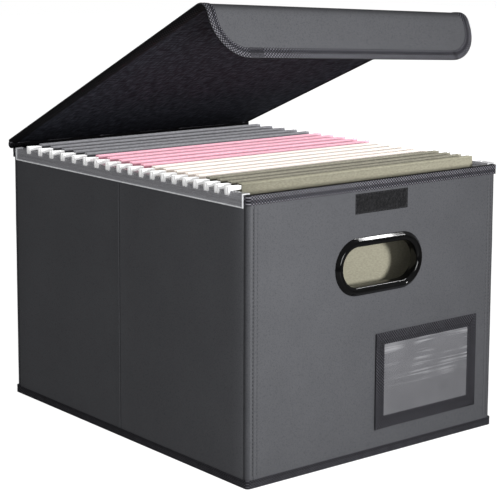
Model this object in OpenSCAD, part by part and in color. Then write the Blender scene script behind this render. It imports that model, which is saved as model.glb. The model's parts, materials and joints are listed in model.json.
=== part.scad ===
// Portable file box: a soft-sided box of covered boards with a lift-up lid and a front flap,
// holding a row of hanging folders on two clear rails.
// X runs along the front, Y into the depth, Z up. The origin is the centre of the footprint.

/* [Box] */
// Width of the box across the front
box_w = 318; // [280:1:382]
// Depth of the box from front to back
box_d = 400; // [333:1:480]
// Height of the box up to its rim
box_h = 267; // [240:1:321]
// Thickness of the outer cover sheet
cover_t = 0.8; // [0.5:0.1:1.2]
// Thickness of the stiff boards inside the walls
board_t = 3.1; // [2:0.1:4]
// Thickness of the inner lining
lining_t = 0.6; // [0.4:0.1:1]
// Radius of the four upright corners
corner_r = 3.5; // [2.5:0.1:6]
// Width of the corner seam on each side face
seam_w = 7; // [5:0.5:12]
// Gap between the two boards of a side wall, where the wall folds
fold_gap = 3; // [2:0.5:6]

/* [Binding] */
// Thickness of the woven binding tape
bind_t = 0.6; // [0.4:0.1:0.8]
// Height of the tape round the rim
rim_bind_h = 9; // [7:0.5:14]
// Height of the tape round the floor
floor_bind_h = 8; // [4:0.5:10]
// Width of the tape on the outer face of the lid and flap, from the outer edge
edge_bind_out = 9.5; // [7:0.5:12]
// Width of the tape on the inner face of the lid and flap, from the outer edge
edge_bind_in = 6; // [4:0.5:6]

/* [Rails] */
// Wall thickness of the clear rails
rail_t = 1.2; // [0.8:0.1:1.6]
// Height of the legs of a rail
rail_leg = 13; // [10:0.5:18]
// Gap between each end of a rail and the tape inside the end wall
rail_end = 0.5; // [0.3:0.1:6]

/* [Handles] */
// Outer length of the oval handle plate
handle_w = 112; // [90:1:134]
// Outer height of the oval handle plate
handle_h = 55; // [46:1:66]
// Width of the plate's rim, from the hand hole to its outer edge
handle_rim = 8.5; // [7:0.5:12]
// How far the plate stands out of the wall
handle_proud = 4; // [2:0.5:6]
// Distance from the rim of the box down to the middle of the handles
handle_drop = 80; // [60:1:90]
// Wall of the sleeve that lines the hand hole
sleeve_t = 1.6; // [1:0.1:2.4]
// Width of the flat ring inside the wall
ring_w = 5.1; // [4:0.1:8]
// Thickness of the flat ring inside the wall
ring_t = 2; // [1.5:0.1:3]

/* [Front details] */
// Width of the two fastening patches
patch_w = 67; // [40:1:90]
// Height of the two fastening patches
patch_h = 19; // [15:1:19]
// Thickness of each fastening patch
patch_t = 0.8; // [0.6:0.1:1]
// Sideways place of the patches from the middle
patch_x = 2; // [-10:1:10]
// Distance from the rim down to the middle of the patches
patch_drop = 20.5; // [19:0.5:21]
// Outer width of the card window
window_w = 137.5; // [100:0.5:150]
// Outer height of the card window
window_h = 93.8; // [60:0.1:100]
// Width of the tape round the card window
window_tape = 11.8; // [8:0.1:16]
// Distance from the right side of the box to the card window
window_side = 25.5; // [15:0.5:60]
// Distance from the floor to the card window
window_up = 25.5; // [15:0.5:30]
// Thickness of the tape round the card window
window_tape_t = 1.2; // [0.9:0.1:1.6]
// Thickness of the clear film
film_t = 0.3; // [0.2:0.1:0.4]

/* [Lid] */
// How much wider the lid is than the box
lid_extra = 10; // [6:1:14]
// Sideways place of the lid from the middle of the box
lid_x = -2.5; // [-4:0.5:4]
// Thickness of the lid with its cover and lining
lid_t = 5; // [3.5:0.1:6]
// Outer radius of the soft fold between the lid and its flap
fold_r = 7; // [6:0.5:9]
// Height of the front flap with the fold
flap_h = 49; // [49:1:60]
// Thickness of the flap with its cover and lining
flap_t = 2.6; // [2:0.1:3.5]
// Radius of the flap's lower corners
flap_r = 25; // [10:1:30]
// Radius of the rolled edge at the back of the lid
roll_r = 4.5; // [3:0.1:5]
// Distance from the rim down to the line that the lid turns on
hinge_drop = 34; // [30:1:40]
// Distance from each side of the box to the hinge band
band_side = 9; // [5:1:40]
// Height of the sewn hem under the hinge band
hem_h = 12; // [6:1:20]
// Angle of the lid above its closed place
lid_open = 21.2; // [0:0.1:150]
// Angle of the flap beyond square to the lid
flap_open = 2; // [0:0.1:90]

/* [Folders] */
// Thickness of the folder card
card_t = 0.4; // [0.3:0.1:0.5]
// Thickness of an empty folder from front to back
folder_t = 6.8; // [6:0.1:8]
// Gap between a folder's side edge and the lining
folder_side = 6.5; // [5:0.5:12]
// Gap between a folder's lower edge and the base board
folder_gap = 34.5; // [15:0.5:60]
// Depth of the turned-over sleeve that holds a rod
sleeve_h = 20; // [12:1:30]
// Thickness of a folder rod
rod_t = 2.1; // [1.5:0.1:2.4]
// Height of a folder rod
rod_h = 4.2; // [3:0.1:6]
// Depth of the hook at each end of a rod, below the rod
hook_drop = 6.2; // [4:0.1:9]
// Thickness of the hook at each end of a rod
hook_t = 1.6; // [1:0.1:2.4]
// Distance from the outside of the back wall to the first folder
row_back = 38.5; // [25:0.5:60]
// Distance from the outside of the front wall to the last folder
row_front = 26; // [20:0.5:60]
// How much wider than average the back folders are spaced, and how much closer the front ones
row_taper = 0.195; // [0:0.005:0.2]

/* [Hidden] */
$fn = 48;

// Clearances
// Between pieces of different moving groups
gap = 0.3;
// The same where a piece slides or turns past another
wide_gap = 0.4;
// Between a rail and the wall it sits on
rail_fit = 0.2;
// Between a rod and the card round it
rod_fit = 0.2;
// Between the folder tops and the closed lid
lid_gap = 0.5;
// From the top of a rod to the top of the card round it
card_rise = 1.5;
// Between the window film and the front cover
film_gap = 0.2;
// From the front of the hinge cloth back to the line that it turns on
hinge_in = 1;
// From the outside of the back wall to the back end of the lid board
lid_over = 1;

// Walls
wall_t = cover_t + board_t + lining_t;
wall_top = box_h - bind_t;
board_x = box_w / 2 - cover_t;
board_y = box_d / 2 - cover_t;
inside_x = box_w / 2 - wall_t;
inside_y = box_d / 2 - wall_t;
floor_z = cover_t + lining_t + board_t;

// Rails
rail_out = box_w / 2 + bind_t + rail_fit + rail_t;
rail_in = inside_x - bind_t - rail_fit - rail_t;
rail_top = box_h + rail_fit + rail_t;

// Handles
handle_z = box_h - handle_drop;
handle_r = handle_h / 2;
handle_half = (handle_w - handle_h) / 2;
hand_r = handle_r - handle_rim;
sleeve_r = hand_r + sleeve_t;
wall_hole_r = sleeve_r + wide_gap;

// Front details
patch_z = box_h - patch_drop;
window_x = box_w / 2 - window_side - window_w / 2;
window_z = window_up + window_h / 2;
film_in = window_tape / 3;

// Folders
folders = 19;
rod_z = rail_top + gap;
rod_top = rod_z + rod_h;
card_top = rod_top + card_rise;
card_low = floor_z + folder_gap;
card_half = inside_x - folder_side;
hook_in = rail_out + wide_gap;
hook_out = hook_in + hook_t;
pitch = (box_d - row_back - row_front) / (folders - 1);
pitch_step = 2 * row_taper * pitch / (folders - 2);
function folder_y(n) = box_d / 2 - row_back - (n - 1) * pitch * (1 + row_taper)
    + pitch_step * (n - 1) * (n - 2) / 2;

// Lid, drawn shut and then turned open about the hinge line
lid_low = card_top + lid_gap;
lid_top = lid_low + lid_t;
lid_w = box_w + lid_extra;
lid_core = lid_w - 2 * bind_t;
patch_clear = 2 * patch_t + gap;
flap_in = box_d / 2 + patch_clear;
flap_out = flap_in + flap_t;
lid_front = -(flap_out - fold_r);
lid_back = box_d / 2 + lid_over;
roll_y = lid_back;
roll_z = lid_top - bind_t - roll_r;
band_t = cover_t + lining_t;
band_y = box_d / 2 + bind_t + wide_gap;
band_half = box_w / 2 - band_side;
hinge_y = band_y + hinge_in;
hinge_z = box_h - hinge_drop;
flap_top = lid_top - fold_r - gap;
flap_low = lid_top - flap_h;
flap_line_y = -flap_out;

// Colours
cover_grey = "#6a6b6f";
tape_grey = "#59585c";
board_brown = "#8a7454";
lining_black = "#242328";
handle_black = "#141416";
card_colours = ["#8d8f93", "#f2b9cb", "#faf0e8", "#8c8b79"];

// An outline with four rounded corners
module rounded(w, d, r) {
    square([w - 2 * r, d], center = true);
    square([w, d - 2 * r], center = true);
    for (x = [-1, 1], y = [-1, 1])
        translate([x * (w / 2 - r), y * (d / 2 - r)])
            circle(r);
}

// The outline of the flap: square at the top, with its lower corners rounded
module flap_outline(w, low, top, r) {
    translate([-w / 2, low + r])
        square([w, top - low - r]);
    translate([-w / 2 + r, low])
        square([w - 2 * r, r]);
    for (x = [-1, 1])
        translate([x * (w / 2 - r), low + r])
            intersection() {
                circle(r);
                translate([-r, -r])
                    square([2 * r, r]);
            }
}

// An oval with straight sides
module oval(half, r) {
    square([2 * half, 2 * r], center = true);
    for (x = [-1, 1])
        translate([x * half, 0])
            circle(r);
}

// A plate between two corners
module block(low, high) {
    translate(low)
        cube(high - low);
}

// A profile in Y and Z, run along X
module along_x(length, x = 0) {
    translate([x, 0, 0])
        rotate([90, 0, 90])
            linear_extrude(length, center = true)
                children();
}

// An outline in X and Z, given a thickness along Y from the given front face
module along_y(y, t) {
    translate([0, y + t, 0])
        rotate([90, 0, 0])
            linear_extrude(t)
                children();
}

// A second copy on the back wall
module to_back() {
    mirror([0, 1, 0])
        children();
}

// A second copy on the right side
module to_right() {
    mirror([1, 0, 0])
        children();
}

// The hand hole through an end wall
module hand_hole() {
    translate([0, 0, handle_z])
        along_y(-box_d / 2 - 1, wall_t + 2)
            oval(handle_half, wall_hole_r);
}

module end_cover() {
    half = box_w / 2 - corner_r;
    difference() {
        block([-half, -box_d / 2, 0], [half, -board_y, wall_top]);
        hand_hole();
    }
}

module end_board() {
    half = box_w / 2 - corner_r;
    difference() {
        block([-half, -board_y, cover_t], [half, -board_y + board_t, wall_top]);
        hand_hole();
    }
}

module side_cover() {
    half = box_d / 2 - seam_w;
    block([-box_w / 2, -half, 0], [-board_x, half, wall_top]);
}

// Two boards with a gap at mid-depth, so that the side wall can fold
module side_boards() {
    end = board_y - board_t;
    for (s = [-1, 1])
        scale([1, s, 1])
            block([-board_x, fold_gap / 2, cover_t], [-board_x + board_t, end, wall_top]);
}

module front_cover() {
    color(cover_grey) end_cover();
}

module back_cover() {
    color(cover_grey) to_back() end_cover();
}

module left_cover() {
    color(cover_grey) side_cover();
}

module right_cover() {
    color(cover_grey) to_right() side_cover();
}

module bottom_cover() {
    color(cover_grey)
        linear_extrude(cover_t)
            rounded(2 * board_x, 2 * board_y, corner_r - cover_t);
}

module front_board() {
    color(board_brown) end_board();
}

module back_board() {
    color(board_brown) to_back() end_board();
}

module left_boards() {
    color(board_brown) side_boards();
}

module right_boards() {
    color(board_brown) to_right() side_boards();
}

// Loose stiffener that lies on the lined floor
module base_board() {
    x = inside_x - gap;
    y = inside_y - gap;
    color(lining_black)
        block([-x, -y, cover_t + lining_t], [x, y, floor_z]);
}

// Lining of the four walls and the floor, in one piece
module lining() {
    x = inside_x + lining_t;
    y = inside_y + lining_t;
    color(lining_black)
        difference() {
            block([-x, -y, cover_t], [x, y, wall_top]);
            block([-inside_x, -inside_y, cover_t + lining_t], [inside_x, inside_y, box_h]);
            hand_hole();
            to_back() hand_hole();
        }
}

// Sewn turns of the cover at the four upright corners
module corner_seams() {
    color(cover_grey)
        linear_extrude(wall_top)
            intersection() {
                difference() {
                    rounded(box_w, box_d, corner_r);
                    rounded(2 * board_x, 2 * board_y, corner_r - cover_t);
                }
                for (x = [-1, 1], y = [-1, 1])
                    scale([x, y])
                        translate([box_w / 2 - corner_r, box_d / 2 - seam_w])
                            square([corner_r, seam_w]);
            }
}

// Woven tape folded over the rim
module top_binding() {
    low = box_h - rim_bind_h;
    color(tape_grey)
        difference() {
            translate([0, 0, low])
                linear_extrude(rim_bind_h)
                    difference() {
                        rounded(box_w + 2 * bind_t, box_d + 2 * bind_t, corner_r + bind_t);
                        square([2 * (inside_x - bind_t), 2 * (inside_y - bind_t)], center = true);
                    }
            linear_extrude(wall_top)
                difference() {
                    rounded(box_w, box_d, corner_r);
                    square([2 * inside_x, 2 * inside_y], center = true);
                }
        }
}

// Woven tape round the lower edge of the walls
module bottom_binding() {
    color(tape_grey)
        linear_extrude(floor_bind_h)
            difference() {
                rounded(box_w + 2 * bind_t, box_d + 2 * bind_t, corner_r + bind_t);
                rounded(box_w, box_d, corner_r);
            }
}

// Clear channel pushed down over the rim of a side wall
module rail() {
    low = rail_top - rail_leg;
    half = inside_y - bind_t - rail_end;
    difference() {
        block([-rail_out, -half, low], [-rail_in, half, rail_top]);
        block([-rail_out + rail_t, -half - 1, low - 1], [-rail_in - rail_t, half + 1, rail_top - rail_t]);
    }
}

module left_rail() {
    color("#c9ccd0") rail();
}

module right_rail() {
    color("#c9ccd0") to_right() rail();
}

// A profile carried round an oval: the children give radius and height
module round_oval(half) {
    for (s = [-1, 1]) {
        translate([s * half, 0, 0])
            rotate([0, 0, -s * 90])
                rotate_extrude(angle = 180)
                    children();
        scale([1, s, 1])
            rotate([90, 0, 90])
                linear_extrude(2 * half, center = true)
                    children();
    }
}

// Oval plate outside the wall, with the sleeve that lines the hand hole
module handle_plate() {
    inner = -(wall_t + ring_t);
    bevel_in = 1.2;
    bevel_out = 2.5;
    color(handle_black)
        translate([0, -box_d / 2, handle_z])
            rotate([90, 0, 0])
                round_oval(handle_half)
                    polygon([[hand_r, inner], [sleeve_r, inner], [sleeve_r, 0], [handle_r, 0],
                        [handle_r, handle_proud - bevel_out], [handle_r - bevel_out, handle_proud],
                        [hand_r + bevel_in, handle_proud], [hand_r, handle_proud - bevel_in]]);
}

// Flat ring that grips the sleeve from inside the wall
module handle_ring() {
    color(handle_black)
        translate([0, -inside_y, handle_z])
            mirror([0, 1, 0])
                rotate([90, 0, 0])
                    linear_extrude(ring_t)
                        difference() {
                            oval(handle_half, sleeve_r + gap + ring_w);
                            oval(handle_half, sleeve_r + gap);
                        }
}

module front_handle_plate() {
    handle_plate();
}

module front_handle_ring() {
    handle_ring();
}

module back_handle_plate() {
    to_back() handle_plate();
}

module back_handle_ring() {
    to_back() handle_ring();
}

// Soft half of the fastening, sewn on the front wall
module loop_patch() {
    color("#2a2a2c")
        along_y(-box_d / 2 - patch_t, patch_t)
            translate([patch_x, patch_z])
                square([patch_w, patch_h], center = true);
}

// Clear film of the card window
module window_film() {
    color("#79787d")
        along_y(-box_d / 2 - film_gap - film_t, film_t)
            translate([window_x, window_z])
                square([window_w - 2 * film_in, window_h - 2 * film_in], center = true);
}

// Woven tape frame that holds the film on the front wall
module window_tape_frame() {
    edge_in = 2 * film_in;
    color(tape_grey)
        difference() {
            along_y(-box_d / 2 - window_tape_t, window_tape_t)
                translate([window_x, window_z])
                    difference() {
                        square([window_w, window_h], center = true);
                        square([window_w - 2 * window_tape, window_h - 2 * window_tape], center = true);
                    }
            along_y(-box_d / 2 - film_gap - film_t, film_gap + film_t + 1)
                translate([window_x, window_z])
                    square([window_w - edge_in, window_h - edge_in], center = true);
        }
}

// Lower edge of the hinge cloth, sewn flat to the back wall
module hinge_hem() {
    top = hinge_z - gap;
    color(cover_grey)
        block([-band_half, box_d / 2, top - hem_h], [band_half, band_y, top]);
}

// Turns the lid open about the hinge line
module on_lid() {
    translate([0, hinge_y, hinge_z])
        rotate([-lid_open, 0, 0])
            translate([0, -hinge_y, -hinge_z])
                children();
}

// Turns the flap about the outer edge of the fold, and then with the lid
module on_flap() {
    on_lid()
        translate([0, flap_line_y, lid_top])
            rotate([-flap_open, 0, 0])
                translate([0, -flap_line_y, -lid_top])
                    children();
}

// A quarter of a ring at the front of the lid, in Y and Z
module fold_ring(r_out, r_in) {
    translate([lid_front, lid_top - fold_r])
        intersection() {
            difference() {
                circle(r_out);
                circle(r_in);
            }
            translate([-fold_r, 0])
                square(fold_r);
        }
}

// The section of the rolled edge at the back of the lid
module roll_section() {
    translate([roll_y, roll_z])
        circle(roll_r);
}

// Cloth from the back wall up to the lid
module hinge_band() {
    color(cover_grey)
        on_lid()
            along_x(2 * band_half)
                difference() {
                    translate([band_y, hinge_z])
                        square([band_t, roll_z - hinge_z]);
                    roll_section();
                }
}

// Outer cover of the lid, carried round the fold
module lid_cover() {
    color(cover_grey)
        on_lid()
            along_x(lid_core, lid_x) {
                translate([lid_front, lid_top - cover_t])
                    square([lid_back - lid_front, cover_t]);
                fold_ring(fold_r, fold_r - cover_t);
            }
}

module lid_board() {
    color(board_brown)
        on_lid()
            along_x(lid_core, lid_x)
                translate([lid_front, lid_low + lining_t])
                    square([lid_back - lid_front, lid_t - cover_t - lining_t]);
}

// Lining under the lid, turned up the end of the board and round the inside of the fold
module lid_lining() {
    fold_in = fold_r - cover_t;
    color(lining_black)
        on_lid()
            along_x(lid_core, lid_x) {
                translate([lid_front - lining_t, lid_low])
                    square([lid_back - lid_front + lining_t, lining_t]);
                translate([lid_front - lining_t, lid_low])
                    square([lining_t, lid_t - cover_t - lining_t / 2]);
                fold_ring(fold_in, fold_in - lining_t);
            }
}

// Woven tape on the two side edges of the lid, and the rolled edge at its back
module lid_binding() {
    core = lid_core / 2;
    edge = lid_w / 2;
    color(tape_grey)
        on_lid() {
            for (s = [-1, 1])
                translate([lid_x, 0, 0])
                    scale([s, 1, 1])
                        difference() {
                            block([edge - edge_bind_out, lid_front, lid_low - bind_t],
                                [edge, lid_back, lid_top + bind_t]);
                            block([0, lid_front - 1, lid_low], [core, lid_back + 1, lid_top]);
                            block([0, lid_front - 1, lid_low - 1], [edge - edge_bind_in, lid_back + 1, lid_low]);
                        }
            along_x(lid_w, lid_x)
                difference() {
                    roll_section();
                    translate([0, lid_low])
                        square([lid_back, lid_t]);
                }
        }
}

// One layer of the flap, from one depth to another measured from its outer face
module flap_layer(from, to) {
    on_flap()
        translate([lid_x, 0, 0])
            along_y(-flap_out + from, to - from)
                flap_outline(lid_core, flap_low + bind_t, flap_top, flap_r - bind_t);
}

module flap_cover() {
    color(cover_grey) flap_layer(0, cover_t);
}

module flap_board() {
    color(board_brown) flap_layer(cover_t, flap_t - lining_t);
}

module flap_lining() {
    color(lining_black) flap_layer(flap_t - lining_t, flap_t);
}

// Woven tape round the three free edges of the flap
module flap_binding() {
    out_w = edge_bind_out;
    in_w = edge_bind_in;
    color(tape_grey)
        on_flap()
            translate([lid_x, 0, 0])
                difference() {
                    along_y(-flap_out - bind_t, flap_t + 2 * bind_t)
                        flap_outline(lid_w, flap_low, flap_top, flap_r);
                    along_y(-flap_out, flap_t)
                        flap_outline(lid_core, flap_low + bind_t, flap_top + 1, flap_r - bind_t);
                    along_y(-flap_out - bind_t - 1, bind_t + 1)
                        flap_outline(lid_w - 2 * out_w, flap_low + out_w, flap_top + 1, flap_r - out_w);
                    along_y(-flap_in, bind_t + 1)
                        flap_outline(lid_w - 2 * in_w, flap_low + in_w, flap_top + 1, flap_r - in_w);
                }
}

// Hooked half of the fastening, sewn inside the flap
module hook_patch() {
    color("#2a2a2c")
        on_flap()
            along_y(-flap_in, patch_t)
                translate([patch_x, patch_z])
                    square([patch_w, patch_h], center = true);
}

// The card of one folder in Y and Z: two leaves joined at the bottom, each turned over its rod
module card_section() {
    out = folder_t / 2;
    middle = rod_fit / 2;
    translate([-out, card_low])
        square([folder_t, card_t]);
    for (s = [-1, 1])
        scale([s, 1]) {
            translate([out - card_t, card_low])
                square([card_t, card_top - card_low]);
            translate([middle, card_top - card_t])
                square([out - middle, card_t]);
            translate([middle, card_top - sleeve_h])
                square([card_t, sleeve_h]);
        }
}

// The side view of a rod in X and Z, with a hook at each end
module rod_outline() {
    low = rod_z - hook_drop;
    polygon([[-hook_out, low], [-hook_in, low], [-hook_in, rod_z], [hook_in, rod_z],
        [hook_in, low], [hook_out, low], [hook_out, rod_top], [-hook_out, rod_top]]);
}

// A hanging folder with its card and its two rods; folder 1 is the rearmost
module folder(n) {
    rod_from = rod_fit / 2 + card_t + rod_fit;
    translate([0, folder_y(n), 0]) {
        color(card_colours[floor((n - 1) / 5)])
            along_x(2 * card_half)
                card_section();
        color("white")
            for (y = [rod_from, -rod_from - rod_t])
                along_y(y, rod_t)
                    rod_outline();
    }
}

front_cover();
back_cover();
left_cover();
right_cover();
bottom_cover();
front_board();
back_board();
left_boards();
right_boards();
base_board();
lining();
corner_seams();
top_binding();
bottom_binding();
left_rail();
right_rail();
front_handle_plate();
front_handle_ring();
back_handle_plate();
back_handle_ring();
loop_patch();
window_film();
window_tape_frame();
hinge_hem();
hinge_band();
lid_cover();
lid_board();
lid_lining();
lid_binding();
flap_cover();
flap_board();
flap_lining();
flap_binding();
hook_patch();
folder(1);  // folder_01
folder(2);  // folder_02
folder(3);  // folder_03
folder(4);  // folder_04
folder(5);  // folder_05
folder(6);  // folder_06
folder(7);  // folder_07
folder(8);  // folder_08
folder(9);  // folder_09
folder(10);  // folder_10
folder(11);  // folder_11
folder(12);  // folder_12
folder(13);  // folder_13
folder(14);  // folder_14
folder(15);  // folder_15
folder(16);  // folder_16
folder(17);  // folder_17
folder(18);  // folder_18
folder(19);  // folder_19
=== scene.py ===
import json
import math
from contextlib import contextmanager

import bmesh
import bpy
from mathutils import Matrix, Vector, noise


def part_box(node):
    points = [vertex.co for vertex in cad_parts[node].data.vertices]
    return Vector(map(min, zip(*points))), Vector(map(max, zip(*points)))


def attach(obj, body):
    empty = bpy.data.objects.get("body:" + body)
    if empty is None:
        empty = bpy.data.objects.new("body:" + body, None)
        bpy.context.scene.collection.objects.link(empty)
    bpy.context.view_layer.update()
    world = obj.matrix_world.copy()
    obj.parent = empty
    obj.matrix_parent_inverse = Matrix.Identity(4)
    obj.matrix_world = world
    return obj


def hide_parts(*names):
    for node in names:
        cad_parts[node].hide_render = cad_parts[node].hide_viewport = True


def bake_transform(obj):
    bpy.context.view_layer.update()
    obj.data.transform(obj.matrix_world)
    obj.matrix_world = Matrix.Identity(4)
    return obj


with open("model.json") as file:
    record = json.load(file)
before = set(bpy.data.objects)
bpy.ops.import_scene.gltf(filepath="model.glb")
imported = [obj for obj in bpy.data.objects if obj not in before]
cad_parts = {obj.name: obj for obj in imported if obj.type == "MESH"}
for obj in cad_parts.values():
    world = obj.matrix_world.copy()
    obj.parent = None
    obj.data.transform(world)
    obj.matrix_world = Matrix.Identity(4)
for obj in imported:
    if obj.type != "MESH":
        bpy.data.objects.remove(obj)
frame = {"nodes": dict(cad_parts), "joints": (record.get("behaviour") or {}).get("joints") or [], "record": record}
bpy.ops.object.select_all(action="DESELECT")
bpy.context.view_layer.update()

mm = 0.001
degree = math.radians(1)


# Camera, from the left of the front and above the rim, with its lens shifted a little downwards
camera_place = (-1.0316, -1.28094, 0.49538)
camera_azimuth = -38.917
camera_elevation = 8.137
camera_roll = 0.213
camera_lens = 116.71
camera_sensor = 36
camera_shift = -0.17
camera_near = 50 * mm


def make_camera():
    """The photograph's view. The shifted lens keeps upright edges closer to parallel."""
    data = bpy.data.cameras.new("camera")
    data.sensor_fit = "HORIZONTAL"
    data.sensor_width = camera_sensor
    data.lens = camera_lens
    data.shift_y = camera_shift
    data.clip_start = camera_near
    camera = bpy.data.objects.new("camera", data)
    bpy.context.scene.collection.objects.link(camera)
    camera.location = camera_place
    turns = [(camera_azimuth, "Z"), (90 - camera_elevation, "X"), (camera_roll, "Z")]
    first, second, third = [Matrix.Rotation(angle * degree, 3, axis) for angle, axis in turns]
    camera.rotation_euler = (first @ second @ third).to_euler()
    bpy.context.scene.camera = camera


make_camera()


# Sizes of the box, read from the frame
half_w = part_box("right_cover")[1].x
half_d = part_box("back_cover")[1].y
corner_r = half_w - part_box("front_cover")[1].x
seam_w = half_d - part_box("left_cover")[1].y
cover_t = half_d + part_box("front_cover")[1].y
wall_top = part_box("front_cover")[1].z
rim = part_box("top_binding")[1].z
tape_t = rim - wall_top
lining_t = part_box("base_board")[0].z - cover_t
inside_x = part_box("lining")[1].x - lining_t
inside_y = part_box("lining")[1].y - lining_t
wall_t = half_w - inside_x

# How far the cover is rounded off at its upright edges, and the two hem lines near each side of an end wall,
# each with how far in it lies and how deep it is pressed
edge_drop = 1.1 * mm
hem_lines = [(6.7 * mm, 0.7 * mm), (11.2 * mm, 0.4 * mm)]

# Width of the woven tapes, and where each is sewn: below the rim, above the floor, and in from its outer edge
tape_w = 9.5 * mm
rim_seam = 5.2 * mm
floor_seam = 4.7 * mm
lid_seam = 5.3 * mm
window_tape_w = 11.8 * mm
window_seam = 6.6 * mm

# Handles
handle_z = (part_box("front_handle_plate")[0].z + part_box("front_handle_plate")[1].z) / 2
handle_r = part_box("front_handle_plate")[1].z - handle_z
handle_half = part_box("front_handle_plate")[1].x - handle_r
handle_rim = 8.5 * mm
hand_r = handle_r - handle_rim
sleeve_t = 1.6 * mm
wall_hole_r = hand_r + sleeve_t + 0.4 * mm

# Lid and flap, drawn shut and then turned open about the hinge line
joints = {joint["name"]: joint for joint in frame["joints"]}
hinge = Vector(joints["lid_hinge"]["pos_m"])
flap_line = Vector(joints["flap_fold"]["pos_m"])
lid_open = -joints["lid_hinge"]["range_deg"][0] * degree
flap_open = -joints["flap_fold"]["range_deg"][0] * degree


def about(point, angle):
    """A turn about a line through the point, parallel to X."""
    return Matrix.Translation(point) @ Matrix.Rotation(angle, 4, "X") @ Matrix.Translation(-point)


open_turn = about(hinge, -lid_open)
flap_turn = about(flap_line, -flap_open)


def shut_box(node, turn=open_turn):
    """The lowest and highest corners that a node of the lid has when its turn is undone."""
    points = [turn.inverted() @ v.co for v in frame["nodes"][node].data.vertices]
    low = Vector([min(p[i] for p in points) for i in range(3)])
    high = Vector([max(p[i] for p in points) for i in range(3)])
    return low, high


flap_shut = flap_turn @ open_turn
fold_out = shut_box("lid_cover")[0].y
lid_back = shut_box("lid_cover")[1].y
lid_top = shut_box("lid_cover")[1].z
fold_r = 14 * mm
lid_x = (shut_box("lid_binding")[0].x + shut_box("lid_binding")[1].x) / 2
lid_half = shut_box("lid_binding")[1].x - lid_x
lid_t = lid_top - shut_box("lid_board")[0].z + lining_t
flap_low = shut_box("flap_binding", flap_shut)[0].z
flap_t = shut_box("flap_lining", flap_shut)[1].y - shut_box("flap_cover", flap_shut)[0].y
flap_r = 36 * mm
flap_sag = 5.1 * mm
fold_y = fold_out + fold_r
fold_z = lid_top - fold_r
fold_start = lid_back - fold_y
fold_turn = 90 * degree - flap_open
fold_end = fold_start + fold_r * fold_turn
flap_end = fold_end + fold_z - flap_low + flap_sag

# Where the roundings of the flap's corners have their middle: across from the lid's, and from its back
round_x = lid_half - flap_r
round_s = flap_end - flap_r

# The lid's board has warped and its soft hinge lets it sit askew: how far its front left corner, its front
# right corner and its back edge stand above the plane of the frame's lid, and how far its front and its back
# lie to the left
lid_warp_left = 15.6 * mm
lid_warp_right = -3.8 * mm
lid_sag_back = -3.7 * mm
lid_skew_front = 8.8 * mm
lid_skew_back = -12.75 * mm
# What share of its width the lid loses towards its front, and of its depth the flap gains at its left
lid_narrow = 0.0155
flap_extra_left = 0.04


# Steps of modelling

def only(piece):
    """Selects one object and nothing else."""
    bpy.ops.object.select_all(action="DESELECT")
    piece.select_set(True)
    bpy.context.view_layer.objects.active = piece


def added(name):
    """The object that a primitive operator has just made, with its place put into its mesh."""
    bpy.ops.object.transform_apply(location=True, rotation=True, scale=True)
    piece = bpy.context.object
    piece.name = name
    piece.data.name = name
    return piece


@contextmanager
def editing(piece):
    """Edit mode on one piece, with all of it selected at the start."""
    only(piece)
    bpy.ops.object.mode_set(mode="EDIT")
    bpy.ops.mesh.select_mode(type="VERT")
    bpy.ops.mesh.select_all(action="SELECT")
    yield
    bpy.ops.object.mode_set(mode="OBJECT")


def select(piece, test, kind="FACE"):
    """Selects the faces, edges or vertices whose middle, and normal or run, pass the test."""
    bpy.ops.mesh.select_mode(type=kind)
    bpy.ops.mesh.select_all(action="DESELECT")
    mesh = bmesh.from_edit_mesh(piece.data)
    if kind == "FACE":
        chosen = [f for f in mesh.faces if test(f.calc_center_median(), f.normal)]
    elif kind == "EDGE":
        ends = {e: (e.verts[0].co, e.verts[1].co) for e in mesh.edges}
        chosen = [e for e, (a, b) in ends.items() if test((a + b) / 2, (b - a).normalized())]
    else:
        chosen = [v for v in mesh.verts if test(v.co, v.normal)]
    for part in chosen:
        part.select_set(True)
    mesh.select_flush_mode()
    bmesh.update_edit_mesh(piece.data)


def extrude(way):
    """Pulls what is selected on by a vector."""
    bpy.ops.mesh.extrude_region_move(TRANSFORM_OT_translate={"value": way})


def shift(way):
    """Moves what is selected by a vector."""
    bpy.ops.transform.translate(value=way)


def merge():
    """Merges doubled vertices of all of the piece."""
    bpy.ops.mesh.select_mode(type="VERT")
    bpy.ops.mesh.select_all(action="SELECT")
    bpy.ops.mesh.remove_doubles(threshold=0.01 * mm)


def outward():
    """Turns all faces of the piece outwards."""
    bpy.ops.mesh.select_all(action="SELECT")
    bpy.ops.mesh.normals_make_consistent(inside=False)


def slice_across(places, way):
    """Cuts the whole piece along planes through the places, square to the way."""
    for place in places:
        bpy.ops.mesh.select_all(action="SELECT")
        bpy.ops.mesh.bisect(plane_co=place, plane_no=way)


def modify(piece, kind, **settings):
    """Adds a modifier with its settings and applies it."""
    only(piece)
    modifier = piece.modifiers.new(kind.lower(), kind)
    for name, value in settings.items():
        setattr(modifier, name, value)
    bpy.ops.object.modifier_apply(modifier=modifier.name)


def soften(piece, width, segments=2, angle=40):
    """Rounds the edges that are sharper than the angle."""
    modify(piece, "BEVEL", width=width, segments=segments, limit_method="ANGLE", angle_limit=angle * degree)


def thicken(piece, thickness, offset=-1, **settings):
    """Gives a sheet its thickness, inwards from its faces unless the offset says otherwise."""
    modify(piece, "SOLIDIFY", thickness=thickness, offset=offset, use_even_offset=True, **settings)


def cut_with(piece, cutter):
    """Takes the cutter's shape out of the piece, and the cutter out of the scene."""
    modify(piece, "BOOLEAN", operation="DIFFERENCE", object=cutter, solver="EXACT")
    bpy.data.objects.remove(cutter)


def shade(piece, angle=40):
    """Smooth shading, with edges sharper than the angle left sharp."""
    only(piece)
    bpy.ops.object.shade_smooth_by_angle(angle=angle * degree)


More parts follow.
